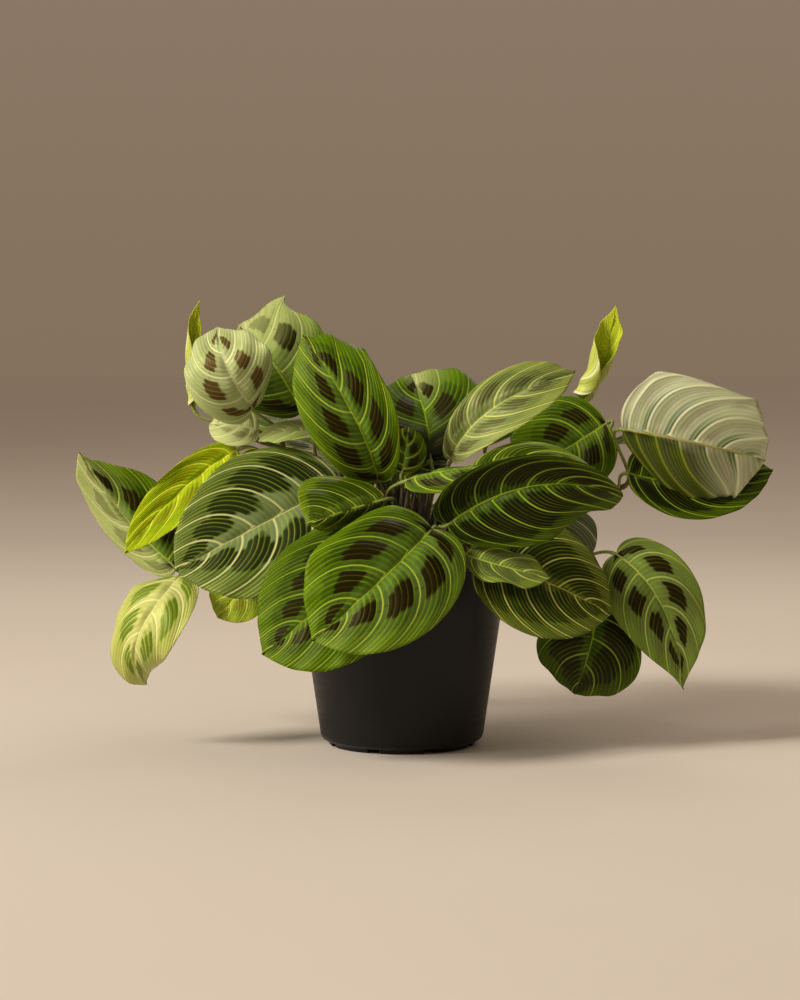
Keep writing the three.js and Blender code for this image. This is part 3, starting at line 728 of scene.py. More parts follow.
def stem_finish():
    """Green with fine lines, and pinkish brown in patches."""
    finish = Finish("jointed stem")
    place = finish.place()
    patches = finish.noise(place, scale=90.0, detail=3.0)
    lines = finish.noise(place, scale=700.0, detail=3.0)
    green = finish.blend(finish.step(lines, MOST_NOISE), "#5C6A25", "#7F8B3A")
    colour = finish.blend(finish.step(patches, (0.4, 0.62)), green, "#6B4630")
    finish.relief(lines, STEM_RELIEF)
    return finish.wear(Base_Color=colour, Roughness=0.5)


stem_skin = stem_finish()
for name in STEMS:
    line = stem_line(name, STEM_STEPS)
    length = line_length(line)
    walked = np.linspace(0, length, len(line))
    near_joint = np.exp(-((walked % JOINT_EVERY - JOINT_EVERY / 2) / JOINT_LENGTH) ** 2)
    taper = 1 + (STEM_TAPER - 1) * walked / length
    radii = STEM_RADIUS * taper * (1 + JOINT_SWELL * near_joint) * STEM_SLIMMING
    points, faces = tube(line, radii, STEM_SIDES)
    build(name.replace("stem", "shoot"), points, faces, [stem_skin], name, smooth_angle=60)
print("stems:", len(STEMS))

# %% [markdown]
# ## The shape of a leaf
# A prayer plant's leaf is an oval with a short tip. Side veins leave the midrib at a steep angle, arch
# forward and end along the margin. The blade could be modelled flat and bent with modifiers. Here it
# is worked out directly instead: one number, the row, says which side vein a point lies on, and the
# other, the column, says how far along that vein it is. Then the veins, the stripes and the blotches
# all follow the true direction of growth, because the mesh itself does.

# %% What most leaves are like
SOFT = (14, 8, -20, -20)
ARCHED = (14, 8, -30, -20)
MOST_LEAVES = dict(
    left=SOFT,  # the left half's rise at base and tip, then its bend at base and tip, in degrees
    right=SOFT,  # the same for the right half
    look="blotched",  # one of the looks further down
    halves=(1, 1),  # how wide the left and the right half are, against half the width
    broad=0.94,  # below 1 the blade is broadest nearer its base, above 1 nearer its tip
    point=0.06,  # length of the drawn-out tip, as a share of the blade
    lobe=0.2,  # how far the blade reaches back beside the stalk
    puff=0.085,  # height of the puffed spaces, against the room between two side veins
    ripple=0.02,  # height of the margin's uneven waves, against the blade's width
    wave=0,  # height of an even wave along the margin, in millimetres
    waves=0,  # how many of those even waves there are
    space=19.0,  # millimetres of midrib to each side vein
    rise=(0, 0, 1),  # the way in which the stalk leaves its stem
    # painted sheen on the left half at base and tip and on the right half, and painted shadow where below
    # 0
    bloom=(0, 0, 0, 0),  # silvery bloom on the left at base and tip and on the right, or shade below 0
    corners=(),  # side, row, millimetres and spread, wherever the margin stands out or is drawn in
)


def leaf_on(stem, at, rib, width, face, **more):
    """One leaf: its stem and place there, its midrib's points, its width and the way it faces."""
    numbers = {**MOST_LEAVES, **more}
    return SimpleNamespace(stem="stem_" + stem, at=at, rib=rib, width=width, face=face, **numbers)


test_leaf = leaf_on("front", 0.5, [(0, 0, 0), (0, -40, 10), (0, -80, 0)], 50, (0, 0, 1))
print("numbers that a leaf has:", len(vars(test_leaf)))

# %% The midrib and the flat blade
LOBE_FADE = 2.2
TIP_POWER = 12
VEIN_START_POWER = 1.35
VEIN_END_POWER = 1.5
VEIN_LEAN = 0.25
VEIN_SPREAD = 0.75
RIB_STEP = 0.01


def mix(first, second, share):
    """Goes from first to second while share goes from 0 to 1."""
    return first + (second - first) * share


def unit(vectors):
    """The same directions with a length of 1."""
    return vectors / np.linalg.norm(vectors, axis=-1, keepdims=True)


def rib_point(leaf, share):
    """Points on the midrib. The curve passes through all of the leaf's rib points."""
    gaps = len(leaf.rib) - 1
    place = np.zeros(share.shape + (3,))
    for index, point in enumerate(leaf.rib):
        weight = np.ones(share.shape)
        for other in range(len(leaf.rib)):
            if other != index:
                weight = weight * (share * gaps - other) / (index - other)
        place += weight[..., None] * np.array(point) * MM
    return place


def rib_frame(leaf, share):
    """The way ahead along the midrib, the way up from the blade, and the way across to the right."""
    ahead = unit(rib_point(leaf, share + RIB_STEP) - rib_point(leaf, share - RIB_STEP))
    face = np.array(leaf.face, dtype=float)
    up = unit(face - ahead * (ahead @ face)[..., None])
    return ahead, up, np.cross(ahead, up)


def blade_point(leaf, row, column):
    """A point of the flat blade: its share of the length, and its share of the half width."""
    foot = row ** VEIN_START_POWER
    turn = math.pi * (1 - (1 - row) ** VEIN_END_POWER)
    lobe = leaf.lobe * np.sin(turn) * np.exp(-LOBE_FADE * turn)
    tip = leaf.point * (turn / math.pi) ** TIP_POWER
    end_along = (0.5 * (1 - np.cos(turn)) - lobe + tip) / (1 + leaf.point)
    end_across = np.sin(math.pi * (turn / math.pi) ** leaf.broad)
    share = abs(column)
    middle = 2 * share * (1 - share)
    along = (1 - share) ** 2 * foot + middle * mix(foot, end_along, VEIN_LEAN) + share ** 2 * end_along
    return along, (middle * VEIN_SPREAD + share ** 2) * end_across


print("base and tip of a blade:", blade_point(test_leaf, np.array([0.0, 1.0]), 1.0)[0])

# %% [markdown]
# ## Bending the blade
# The two halves of a blade rise from the midrib like a shallow trough and bend on towards the margin,
# mostly downwards. A bend modifier turns a whole blade round one straight axis. Here the bend is
# added up in small steps along each vein instead, so that each half has its own bend, and a half can
# roll right over, as on a new leaf. Where the real margin bulges or is drawn in, a bell-shaped hump
# is added to the width.

# %% From the flat blade to the bent one
BEND_STEPS = 8
CORNER_FADE = 8


def margin_change(leaf, row, column):
    """How much the margin stands out at the leaf's corners, in metres."""
    change = np.zeros(row.shape)
    side_here = np.where(column < 0, -1.0, 1.0)
    for side, share, more, spread in leaf.corners:
        peak = np.exp(-(abs(row - share) / spread) ** (1 if more > 0 else 2))
        peak = peak * np.minimum(1, CORNER_FADE * row * (1 - row)) * abs(column) ** 2
        change = change + np.where(side_here == side, more * MM * peak, 0)
    return change


def bent_blade(leaf, row, column):
    """Points of the blade's upper side and the way it faces there."""
    along, across = blade_point(leaf, row, column)
    ahead, up, right = rib_frame(leaf, along)
    on_left = column < 0
    sign = np.where(on_left, -1.0, 1.0)
    rise, rise_tip, bend, bend_tip = [np.where(on_left, a, b) for a, b in zip(leaf.left, leaf.right)]
    start = np.radians(mix(rise, rise_tip, along))
    turn = np.radians(mix(bend, bend_tip, along))
    angles = [start + turn * across * (step + 0.5) / BEND_STEPS for step in range(BEND_STEPS)]
    out = sum(np.cos(angle) for angle in angles) / BEND_STEPS
    height = sum(np.sin(angle) for angle in angles) / BEND_STEPS
    reach = leaf.width / 2 * MM * np.where(on_left, *leaf.halves) * across
    reach = reach + margin_change(leaf, row, column)
    wave = leaf.wave * MM * np.sin(2 * math.pi * leaf.waves * row)
    lift = reach * height + wave * across ** 2 * sign
    place = rib_point(leaf, along) + right * (sign * reach * out)[..., None] + up * lift[..., None]
    tilt = start + turn * across
    normal = up * np.cos(tilt)[..., None] - right * (sign * np.sin(tilt))[..., None]
    return place, normal


tip = bent_blade(test_leaf, np.array([[1.0]]), np.array([[1.0]]))[0].ravel()
print("tip of the test leaf in mm:", [round(float(value) / MM, 1) for value in tip])

# %% [markdown]
# ## What makes a blade look alive
# A real blade is never smooth. It puffs up between the side veins, the midrib lies in a groove, and
# the margin waves. A displacement modifier with a texture could raise such bumps, but they wouldn't
# know where the veins are. So every point is moved a little along its own normal, by sums of sines
# that follow the veins. For that, the space between two veins is measured on the bent blade.

# %% Puffed spaces, a groove and a wavy margin
VEIN_SWEEP = 0.22
HALF_SHIFT = 0.4
VEINS_BETWEEN_LEAVES = 20
WIDEST_SPACE = 30 * MM
SMALLEST = 1e-18
PUFF_START = 0.12
SCALLOP = 0.08
GROOVE_DEPTH = 0.5 * MM
GROOVE_WIDTH = 1.6 * MM
GROOVE_AT_BASE = 0.1
RIPPLE_WAVES = (1.5, 2.7, 4.3)


def vein_number(leaf, row, column):
    """Which side vein runs here: whole numbers lie on a side vein, halves midway between two."""
    sweep = VEIN_SWEEP * abs(column) ** 2 * (1 - row ** 2)
    shift = np.where(column > 0, HALF_SHIFT, 0.0)
    return leaf.spaces * (row - sweep) + shift + VEINS_BETWEEN_LEAVES * leaf.seed


def measured(place, veins):
    """For each point: how far it lies from the midrib, and the room between two side veins there."""
    steps = np.linalg.norm(np.diff(place, axis=1), axis=2)
    middle = place.shape[1] // 2
    walked = np.concatenate([np.zeros((len(place), 1)), np.cumsum(steps, axis=1)], axis=1)
    from_rib = abs(walked - walked[:, middle:middle + 1])
    down, over = np.gradient(place, axis=0), np.gradient(place, axis=1)
    veins_down, veins_over = np.gradient(veins, axis=0), np.gradient(veins, axis=1)
    down_size, over_size = (down ** 2).sum(axis=2), (over ** 2).sum(axis=2)
    lean = (down * over).sum(axis=2)
    area = np.maximum(down_size * over_size - lean ** 2, SMALLEST)
    steep = veins_down ** 2 * over_size - 2 * veins_down * veins_over * lean + veins_over ** 2 * down_size
    room = np.sqrt(area / np.maximum(steep, SMALLEST))
    return from_rib, np.minimum(room, WIDEST_SPACE)


def enlivened(leaf, place, normal, row, column, veins):
    """The blade with its puffed spaces, its grooved midrib and its wavy margin."""
    draw = np.random.default_rng(leaf.seed)
    from_rib, room = measured(place, veins)
    share = abs(column)
    puff = leaf.puff * room * np.sin(math.pi * veins) ** 2 * (1 - share ** 6)
    puff = puff * np.minimum(1, share / PUFF_START)
    groove = GROOVE_DEPTH * np.exp(-(from_rib / GROOVE_WIDTH) ** 2)
    groove = groove * np.sin(math.pi * np.minimum(1, row + GROOVE_AT_BASE))
    ripple = np.zeros(row.shape)
    for waves in RIPPLE_WAVES:
        strength = draw.uniform(0.3, 1.0) * leaf.ripple * leaf.width * MM / waves ** 0.5
        ripple += strength * np.sin(2 * math.pi * waves * row + draw.uniform(0, 6) + 2 * (column > 0))
    ripple += SCALLOP * room * np.sin(2 * math.pi * veins)
    lift = puff - groove + ripple * share ** 3 * np.sin(math.pi * row)
    return place + normal * lift[..., None]


print("puff between veins 10 mm apart:", MOST_LEAVES["puff"] * 10, "mm")

# %% [markdown]
# ## A closed blade
# A blade is a thin solid sheet. A solidify modifier would give it one even thickness. This blade is
# thinner at its margin, and its under side carries the midrib as a raised ridge, so the lower side is
# worked out point by point and joined to the upper one by a thin rim. The vein number, the column
# and a few lengths are kept as UV places, for the leaf's pattern to read.

# %% A sheet between two grids of points
def closed_sheet(top, bottom):
    """Points and faces of a sheet between two grids of points. Faces of the lower side are marked 1."""
    count = top.shape[0] * top.shape[1]
    index = np.arange(count).reshape(top.shape[:2])
    a, b, c, d = index[:-1, :-1], index[:-1, 1:], index[1:, 1:], index[1:, :-1]
    upper = np.stack([a, b, c, d], axis=-1).reshape(-1, 4)
    edge = np.concatenate([index[:-1, 0], index[-1, :-1], index[:0:-1, -1], index[0, :0:-1]])
    after = np.roll(edge, -1)
    rim = np.stack([edge, after, after + count, edge + count], axis=-1)
    faces = np.vstack([upper, upper[:, ::-1] + count, rim])
    sides = np.repeat([0, 1, 0], [len(upper), len(upper), len(rim)])
    return np.vstack([top.reshape(-1, 3), bottom.reshape(-1, 3)]), faces, sides


blank = np.zeros((3, 3, 3))
print("faces of a sheet of 2 by 2 cells:", len(closed_sheet(blank, blank)[1]))

# %% The blade's upper side, under side and rim
BLADE_THICKNESS = 0.55 * MM
MARGIN_THICKNESS = 0.25 * MM
RIDGE_HEIGHT = 0.8 * MM
RIDGE_WIDTH = 0.8 * MM
RIDGE_TAPER = 0.7
BLADE_ROWS = 56
BLADE_COLUMNS = 44
COLUMN_POWER = 1.25
PAINTED_LIGHT_TURN = 0.25


def painted_light_on(leaf, row, column):
    """The leaf's painted sheen at each point, and painted shadow below 0, going smoothly from its left
    half to its right half.
    """
    left_base, left_tip, right_base, right_tip = leaf.bloom
    from_left = np.clip((column / PAINTED_LIGHT_TURN + 1) / 2, 0, 1)
    from_left = from_left ** 2 * (3 - 2 * from_left)
    return mix(mix(left_base, left_tip, row), mix(right_base, right_tip, row), from_left)


def blade_mesh(leaf):
    """Points, faces, face finishes and UV places of the closed blade."""
    rows = np.linspace(0, 1, BLADE_ROWS + 1)
    spread = np.linspace(-1, 1, BLADE_COLUMNS + 1)
    row, column = np.meshgrid(rows, np.sign(spread) * abs(spread) ** COLUMN_POWER, indexing="ij")
    veins = vein_number(leaf, row, column)
    place, normal = bent_blade(leaf, row, column)
    place = enlivened(leaf, place, normal, row, column, veins)
    from_rib, room = measured(place, veins)
    ridge = RIDGE_HEIGHT * np.exp(-(from_rib / RIDGE_WIDTH) ** 2) * (1 - row) ** RIDGE_TAPER
    thickness = mix(BLADE_THICKNESS, MARGIN_THICKNESS, abs(column) ** 2)
    points, faces, sides = closed_sheet(place, place - normal * (thickness + ridge)[..., None])
    corners = {
        "growth": np.stack([veins, column], axis=-1).reshape(-1, 2),
        "lengths": np.stack([from_rib, room], axis=-1).reshape(-1, 2) / MM,
        # the painted sheen and painted shadow at each point, and its row
        "bloom": np.stack([painted_light_on(leaf, row, column), row], axis=-1).reshape(-1, 2),
    }
    return points, faces, sides, {name: np.vstack([value, value]) for name, value in corners.items()}


print("faces in one blade:", 2 * BLADE_ROWS * BLADE_COLUMNS + 2 * (BLADE_ROWS + BLADE_COLUMNS))

# %% [markdown]
# ## The stalk
# The real stalk leaves its stem inside a clasping sheath, swings over, and ends in a swollen knee with
# which the leaf turns its blade to the light. A tube along a curve with two handles gives that swing.
# The wide foot and the knee are two humps in its radius.

# %% The stalk
STEM_MARKS = 200
STALK_STEPS = 22
STALK_BEND = 0.4
STALK_SINK = 0.8 * MM
STALK_REACH = 0.07
STALK_RADIUS = 1.0 * MM
STALK_SLIMMING = 0.92
STALK_END = 0.6
STALK_SIDES = 10
FOOT_SWELL = 0.75
FOOT_LENGTH = 0.12
KNEE_SWELL = 0.28
KNEE_PLACE = 0.9
KNEE_LENGTH = 0.08


def stalk_line(leaf):
    """The stalk's line: up from the stem, over to the blade and a little way under the midrib."""
    foot = stem_line(leaf.stem, STEM_MARKS)[round(leaf.at * STEM_MARKS)]
    zero = np.zeros(1)
    base = rib_point(leaf, zero)[0]
    ahead, up, _ = [value[0] for value in rib_frame(leaf, zero)]
    length = np.linalg.norm(foot - base)
    seat = base - up * STALK_SINK
    rise = unit(np.array(leaf.rise, dtype=float))
    handles = [foot, foot + rise * length * STALK_BEND, seat - ahead * length * STALK_BEND, seat]
    share = np.linspace(0, 1, CURVE_STEPS)[:, None]
    weights = [(1 - share) ** 3, 3 * share * (1 - share) ** 2, 3 * share ** 2 * (1 - share), share ** 3]
    line = even(sum(weight * handle for weight, handle in zip(weights, handles)), STALK_STEPS)
    reach = np.array([STALK_REACH])
    end = rib_point(leaf, reach)[0] - rib_frame(leaf, reach)[1][0] * STALK_SINK
    return np.vstack([line, end])


def stalk_mesh(leaf):
    """Points, faces and UV places of the stalk."""
    line = stalk_line(leaf)
    share = np.linspace(0, 1, len(line))
    foot = FOOT_SWELL * np.exp(-(share / FOOT_LENGTH) ** 2)
    knee = KNEE_SWELL * np.exp(-((share - KNEE_PLACE) / KNEE_LENGTH) ** 2)
    radii = STALK_RADIUS * (STALK_SLIMMING + foot + knee)
    radii[-1] *= STALK_END
    points, faces = tube(line, radii, STALK_SIDES)
    along = np.repeat(share, STALK_SIDES)
    return np.array(points), faces, np.stack([along, np.zeros(len(along))], axis=1)


print("length of the test leaf's stalk in mm:", round(line_length(stalk_line(test_leaf)) / MM))

# %% Blade and stalk as one mesh
LEAF_MERGE = 0.0005 * MM


def make_leaf(name, leaf, skins):
    """Blade and stalk as one piece, with three finishes: upper side, under side and stalk."""
    points, faces, sides, corners = blade_mesh(leaf)
    stalk_points, stalk_faces, stalk_uv = stalk_mesh(leaf)
    start = len(points)
    points = np.vstack([points, stalk_points])
    faces = [tuple(face) for face in faces] + [tuple(start + i for i in face) for face in stalk_faces]
    sides = np.concatenate([sides, np.full(len(stalk_faces), 2)])
    corners = {layer: np.vstack([value, stalk_uv]) for layer, value in corners.items()}
    piece = build(name, points, faces, skins, f"leaf_{name}", sides, corners)
    tidy(piece, merge=LEAF_MERGE)


print("points closer than this are joined, in mm:", round(LEAF_MERGE / MM, 5))

# %% [markdown]
# ## The looks of the leaves
# The leaves differ with age and light. Young ones are a bright yellow green, most are deep green with
# brown blotches, some are pale and silvery, partly their own colour and partly painted sheen, and one
# shows only its pale under side. Each look is a short list of colours and strengths, and one recipe
# further down paints all of them. That is easier to keep alike than ten materials made by hand.

# %% Colours of each look
MOST_LOOKS = dict(
    blotches=0.0,  # strength of the brown blotches
    blotch="#1C1302",
    spot=(0.36, 0.18, 0.36),  # a blotch's middle, half length and half width
    zones=0.5,  # strength of the dark zones around them
    zone_spot=(0.42, 0.32, 0.52),
    vein_width=1.1,  # width of a side vein, in millimetres
    sheen=0.18,  # strength of the shine
    tinge=0.2,  # strength of the pinkish tinge on the under side
)
# Each look gives the colours of the ground, its lighter clouds, the thin lines, the side veins, the
# pale band, the dark zones and the margin. under holds three colours of the under side: two that
# its ground goes between, and the one of its streaks.
LOOKS = {
    "blotched": dict(
        ground="#2E4C06", light="#466A04", line="#7C960C", vein="#9CB02A", sage="#4E6E26", zone="#243C02",
        margin="#527204", blotches=1.0, under=("#62783A", "#7C9052", "#46601A")),
    "plain": dict(
        ground="#365008", light="#4A6A06", line="#869C10", vein="#A8BA34", sage="#4A6420", zone="#223602",
        margin="#587204", zones=0.8, under=("#62783A", "#7C9052", "#46601A")),
    "dark": dict(
        ground="#344C16", light="#465E22", line="#94A43C", vein="#C4C882", sage="#748658", zone="#142404",
        margin="#54682C", zones=1.0, zone_spot=(0.4, 0.25, 0.46), sheen=0.3, vein_width=1.5,
        under=("#5E743C", "#788C54", "#425C1C")),
    # The under colours of the deep and striped looks are a real green made darker: painted shadow for
    # under sides seen in shadow.
    "deep": dict(
        ground="#182C02", light="#243C06", line="#5C760C", vein="#869E20", sage="#2A440C", zone="#060B00",
        margin="#3C5208", zones=1.0, blotch="#1A0E00", blotches=0.4,
        under=("#3C5220", "#4C622C", "#2C400E")),
    "striped": dict(
        ground="#2E440A", light="#3C540E", line="#909A30", vein="#BEC25E", sage="#46581C", zone="#162202",
        margin="#58682A", zones=0.8, under=("#42581C", "#566C2C", "#30460E")),
    # The pale look's sage ground is partly the leaf's own silvering and partly painted sheen, for light
    # glancing off a glossy blade.
    "pale": dict(
        ground="#829A5C", light="#A0B27C", line="#BECA90", vein="#DCE2A8", sage="#A6B688", zone="#5E7430",
        margin="#AEBC84", zones=0.35, blotch="#4A2C08", blotches=1.0, spot=(0.37, 0.15, 0.33), sheen=0.4,
        vein_width=1.25, tinge=0.5, under=("#98A070", "#B2B68C", "#3E521A")),
    "veiled": dict(
        ground="#64783A", light="#7C8E50", line="#A2B060", vein="#C6CE68", sage="#8E9E68", zone="#4C6020",
        margin="#88983C", blotch="#403A22", blotches=0.6, sheen=0.6,
        under=("#8C9664", "#A8AC80", "#5C6C34")),
    "cream": dict(
        ground="#9CA840", light="#B0BA56", line="#C8CC76", vein="#DCDE98", sage="#BEC474", zone="#5E7A08",
        margin="#B8BE6A", zones=0.95, zone_spot=(0.42, 0.21, 0.34), sheen=0.5,
        under=("#8CA038", "#A8B850", "#5E7C10")),
    # The fresh look's under colours and the new look's colours are brighter than the young leaves' own
    # lime: a painted glow of light shining through them.
    "fresh": dict(
        ground="#7A9A02", light="#90AA02", line="#BAC61A", vein="#D4DA3C", sage="#9CB212", zone="#648600",
        margin="#9CB208", zones=0.4, blotch="#7C6804", blotches=0.5,
        under=("#C0CC34", "#D4DC4E", "#94A614")),
    "new": dict(
        ground="#A6B822", light="#B8C830", line="#D0DA3C", vein="#DEE450", sage="#B8C634", zone="#92A812",
        margin="#B6C42A", zones=0.2, under=("#B4C42A", "#CAD644", "#94A614")),
}
SLOTS = {"pale": "pale", "veiled": "pale", "cream": "fresh", "fresh": "fresh", "new": "fresh"}
print("looks:", list(LOOKS))

# %% [markdown]
# ## The pattern of the upper side
# This plant is known for its pattern. Pale lines follow the side veins, the ground between them is
# green, and a brown blotch sits in each space, a third of the way out. A feathered pale band runs
# along the midrib. None of it needs a picture. The mesh already says which vein a point lies on
# and how far out it is, so lines, bands and blotches are only distances from those numbers. They are
# painted one over the other, like coats of paint.

# %% Blotches, and the way to the nearest line
LINES_PER_SPACE = 6
SPOT_BLUR = 0.03
SPOT_SHIFT = 0.02
SPOT_TIP = 0.06


def spot(finish, phase, lane, side, size):
    """A fingered oval between two side veins: 1 inside it and 0 outside."""
    middle, half_length, half_width = size
    lane_middle = (phase * LINES_PER_SPACE).whole() + 0.5
    off = (lane_middle / LINES_PER_SPACE - 0.5) / half_width
    room = (1 - abs(off) ** 4).at_least(0.0).root()
    whole = lane.whole()
    length = room * finish.step(finish.dice(whole), (0, 1), (0.9 * half_length, 1.05 * half_length))
    centre = finish.step(finish.dice(whole + 0.5), (0, 1), (middle - SPOT_SHIFT, middle + SPOT_SHIFT))
    tip = lane.fraction() - 0.5
    beyond = abs(side - centre) - length + tip * tip * SPOT_TIP
    return finish.step(beyond, (-SPOT_BLUR, SPOT_BLUR), (1, 0))


def to_nearest_vein(phase):
    """How far a point is from the nearest side vein: 0 on it and 0.5 midway to the next one."""
    return 0.5 - abs(phase - 0.5)


def beside_line(lane):
    """How far a point is from the middle of its thin line: 0 there and 0.5 between two lines."""
    return abs((lane + 0.5).fraction() - 0.5)


print("thin lines in each space:", LINES_PER_SPACE)

# %% The upper side's finish
THIN_SHARPNESS = 2.2
THIN_SHARPNESS_ON_BLOTCH = 4 * THIN_SHARPNESS
THIN_CLOUDS = (0.33, 0.67)
THIN_STRENGTH = (0.2, 1.0)
THIN_ON_BLOTCH = (0.95, 0.5)
VEIN_WANDER = 0.06
VEIN_BLUR = (0.2, 0.65)
VEIN_NARROWING = (1.0, 0.55)
RIB_BLUR = (0.35, 0.8)
RIB_NARROWING = (1.0, 0.4)
PAINTED_SHEEN_MOST = 0.9
PAINTED_SHEEN_VEILS = (0.3, 0.9)
BLOTCH_UNDER_PAINTED_SHEEN = (1.0, 0.45)
BLOTCH_PULL = 0.25
BASE_FADE = (0.03, 0.2)
TIP_FADE = (0.8, 0.97)
BAND_REACH = 0.06
BAND_JAG = 0.1
BAND_AT_VEIN = 0.5
BAND_BLUR = (-0.02, 0.07)
BAND_MOST = 0.9
MARGIN_BLUR = (0.65, 1.1)
MARGIN_MOST = 0.8
UPPER_ROUGH = (0.38, 0.5)
UPPER_RELIEF = 0.22 * MM


def upper_finish(name, look):
    """The pattern of a leaf's upper side, with painted sheen and painted shadow over it."""
    finish = Finish(f"{name} leaf, upper side")
    place = finish.place()
    veins, column = finish.corner("growth")
    from_rib, room = finish.corner("lengths")
    bloom, row = finish.corner("bloom")
    side = abs(column)
    soft = finish.noise(place, scale=60.0, detail=3.0)
    fine = finish.noise(place, scale=1100.0, detail=3.0, rough=0.6)
    grown = veins + (soft - 0.5) * VEIN_WANDER
    phase = grown.fraction()
    lane = grown * LINES_PER_SPACE
    line_dice = finish.dice(lane.whole())
    beside = beside_line(lane)
    from_vein = to_nearest_vein(phase)
    # painted sheen: the blade made pale and silvery where light glances off it
    painted_sheen = finish.step(bloom, (0, 1), (0, PAINTED_SHEEN_MOST))

    vein_mm = from_vein * room / finish.step(side, (0, 1), VEIN_NARROWING)
    vein = finish.step(vein_mm / look["vein_width"], VEIN_BLUR, (1, 0))
    rib = finish.step(from_rib / finish.step(row, (0, 1), RIB_NARROWING), RIB_BLUR, (1, 0))
    near_vein = finish.step(from_vein, (0, 0.5), (1, 0)) ** 2
    reach = BAND_REACH + line_dice * BAND_JAG + near_vein * BAND_AT_VEIN
    sage = finish.step(side - reach, BAND_BLUR, (BAND_MOST, 0))
    near_edge = finish.step(side + soft * 0.2, MARGIN_BLUR, (0, MARGIN_MOST))
    away_from_ends = finish.step(row, BASE_FADE) * finish.step(row, TIP_FADE, (1, 0))
    inner = side + finish.step(away_from_ends, (0, 1), (BLOTCH_PULL, 0))
    blotch = spot(finish, phase, lane, inner, look["spot"]) * look["blotches"]
    # blotches fade under the painted sheen
    blotch = blotch * finish.step(painted_sheen, PAINTED_SHEEN_VEILS, BLOTCH_UNDER_PAINTED_SHEEN)
    zone = spot(finish, phase, lane, side, look["zone_spot"]) * look["zones"]
    covered = (zone * 0.5).at_least(blotch)
    sharpness = finish.step(covered, (0, 1), (THIN_SHARPNESS, THIN_SHARPNESS_ON_BLOTCH))
    strength = finish.noise(finish.vector(lane * 0.9, side * 1.6), scale=1.0)
    thin = (1 - beside * 2) ** sharpness * finish.step(strength, THIN_CLOUDS, THIN_STRENGTH)
    thin = thin * finish.step(blotch, (0, 1), THIN_ON_BLOTCH)

    # veins turn pale cream under the painted sheen
    vein_colour = finish.blend(painted_sheen, look["vein"], "#D6DAA0")
    colour = finish.coats(
        finish.blend(finish.step(soft, MOST_NOISE), look["ground"], look["light"]),
        (line_dice * 0.3, look["zone"]),
        (near_edge, look["margin"]),
        (sage, look["sage"]),
        (zone, look["zone"]),
        # painted sheen
        (painted_sheen, "#B6C07C"),
        (blotch, look["blotch"]),
        (thin, look["line"]),
        (vein, vein_colour),
        (rib, vein_colour),
        # painted shadow: the blade darkened where it lies in shadow
        ((bloom * -1).at_least(0.0), "#0E1602"),
    )
    finish.relief(vein * -0.5 + beside * 1.2 + fine * 0.15, UPPER_RELIEF)
    return finish.wear(Base_Color=colour, Roughness=finish.step(fine, MOST_NOISE, UPPER_ROUGH),
                       Specular_IOR_Level=look["sheen"], Specular_Tint="#F2F4A8")


upper_skins = {name: upper_finish(name, {**MOST_LOOKS, **look}) for name, look in LOOKS.items()}
print("nodes in one upper side:", len(upper_skins["blotched"].node_tree.nodes))

# %% [markdown]
# ## The under side and the stalk
# The under side is paler and duller. Its veins stand out in cream, silvery green lies between them
# with a tinge of pink, and darker streaks run outwards from the midrib, where the upper side's
# pattern shows through. The same numbers from the mesh draw it. The stalk is green with fine lines,
# and pinkish brown at its foot.

# %% Finishes of the under side and of the stalk
UNDER_VEIN_BLUR = (0.1, 1.4)
UNDER_RIB_BLUR = (0.5, 1.0)
TINGE_BLUR = (0.1, 0.4)
TINGE_CLOUDS = (0.35, 0.6)
STREAK_SIDE = (0.5, 0.85)
STREAK_REACH = (0.3, 1.1)
UNDER_RELIEF = 0.35 * MM
STALK_RELIEF = 0.2 * MM


def under_finish(name, look):
    """The paler under side: raised cream veins, silvery green between them, a tinge of pink, and painted
    sheen and painted shadow.
    """
    finish = Finish(f"{name} leaf, under side")
    veins, column = finish.corner("growth")
    from_rib, room = finish.corner("lengths")
    bloom = finish.corner("bloom")[0]
    soft = finish.noise(finish.place(), scale=70.0, detail=3.0)
    lane = veins * LINES_PER_SPACE
    line_dice = finish.dice(lane.whole())
    phase = veins.fraction()
    from_vein = to_nearest_vein(phase)
    # painted sheen, and painted shadow where the blade lies in shadow
    painted_sheen = bloom.at_least(0.0)
    painted_shadow = (bloom * -1).at_least(0.0)

    vein = finish.step(from_vein * room, UNDER_VEIN_BLUR, (1, 0))
    tinge = finish.step(from_vein, TINGE_BLUR) * finish.step(soft, TINGE_CLOUDS, (0.1, look["tinge"]))
    fading = finish.step(abs(column) + line_dice * 0.3, STREAK_REACH, (1, 0))
    streaks = finish.step(phase, STREAK_SIDE) * fading
    # thin lines are dimmer in the painted shadow
    line = (1 - beside_line(lane) * 2) ** THIN_SHARPNESS * finish.blend(painted_shadow, "#C0C0C0", "#FFFFFF")

    plain, light, dark = look["under"]
    colour = finish.coats(
        finish.blend(line_dice, plain, light),
        # painted sheen
        (painted_sheen * 0.7, "#B6C496"),
        (tinge, "#9C947E"),
        (streaks, dark),
        # painted shadow
        (painted_shadow, "#3A4812"),
        # lines and veins turn darker and greener in the painted shadow
        (line * 0.6, finish.blend(painted_shadow, "#E2E6C2", "#76800E")),
        (vein * 0.85, finish.blend(painted_shadow, "#E0E2BA", "#8E9A20")),
        (finish.step(from_rib, UNDER_RIB_BLUR, (1, 0)), "#A09C50"),
    )
    finish.relief(vein + line * 0.3, UNDER_RELIEF)
    return finish.wear(Base_Color=colour, Roughness=0.42, Specular_IOR_Level=0.4)


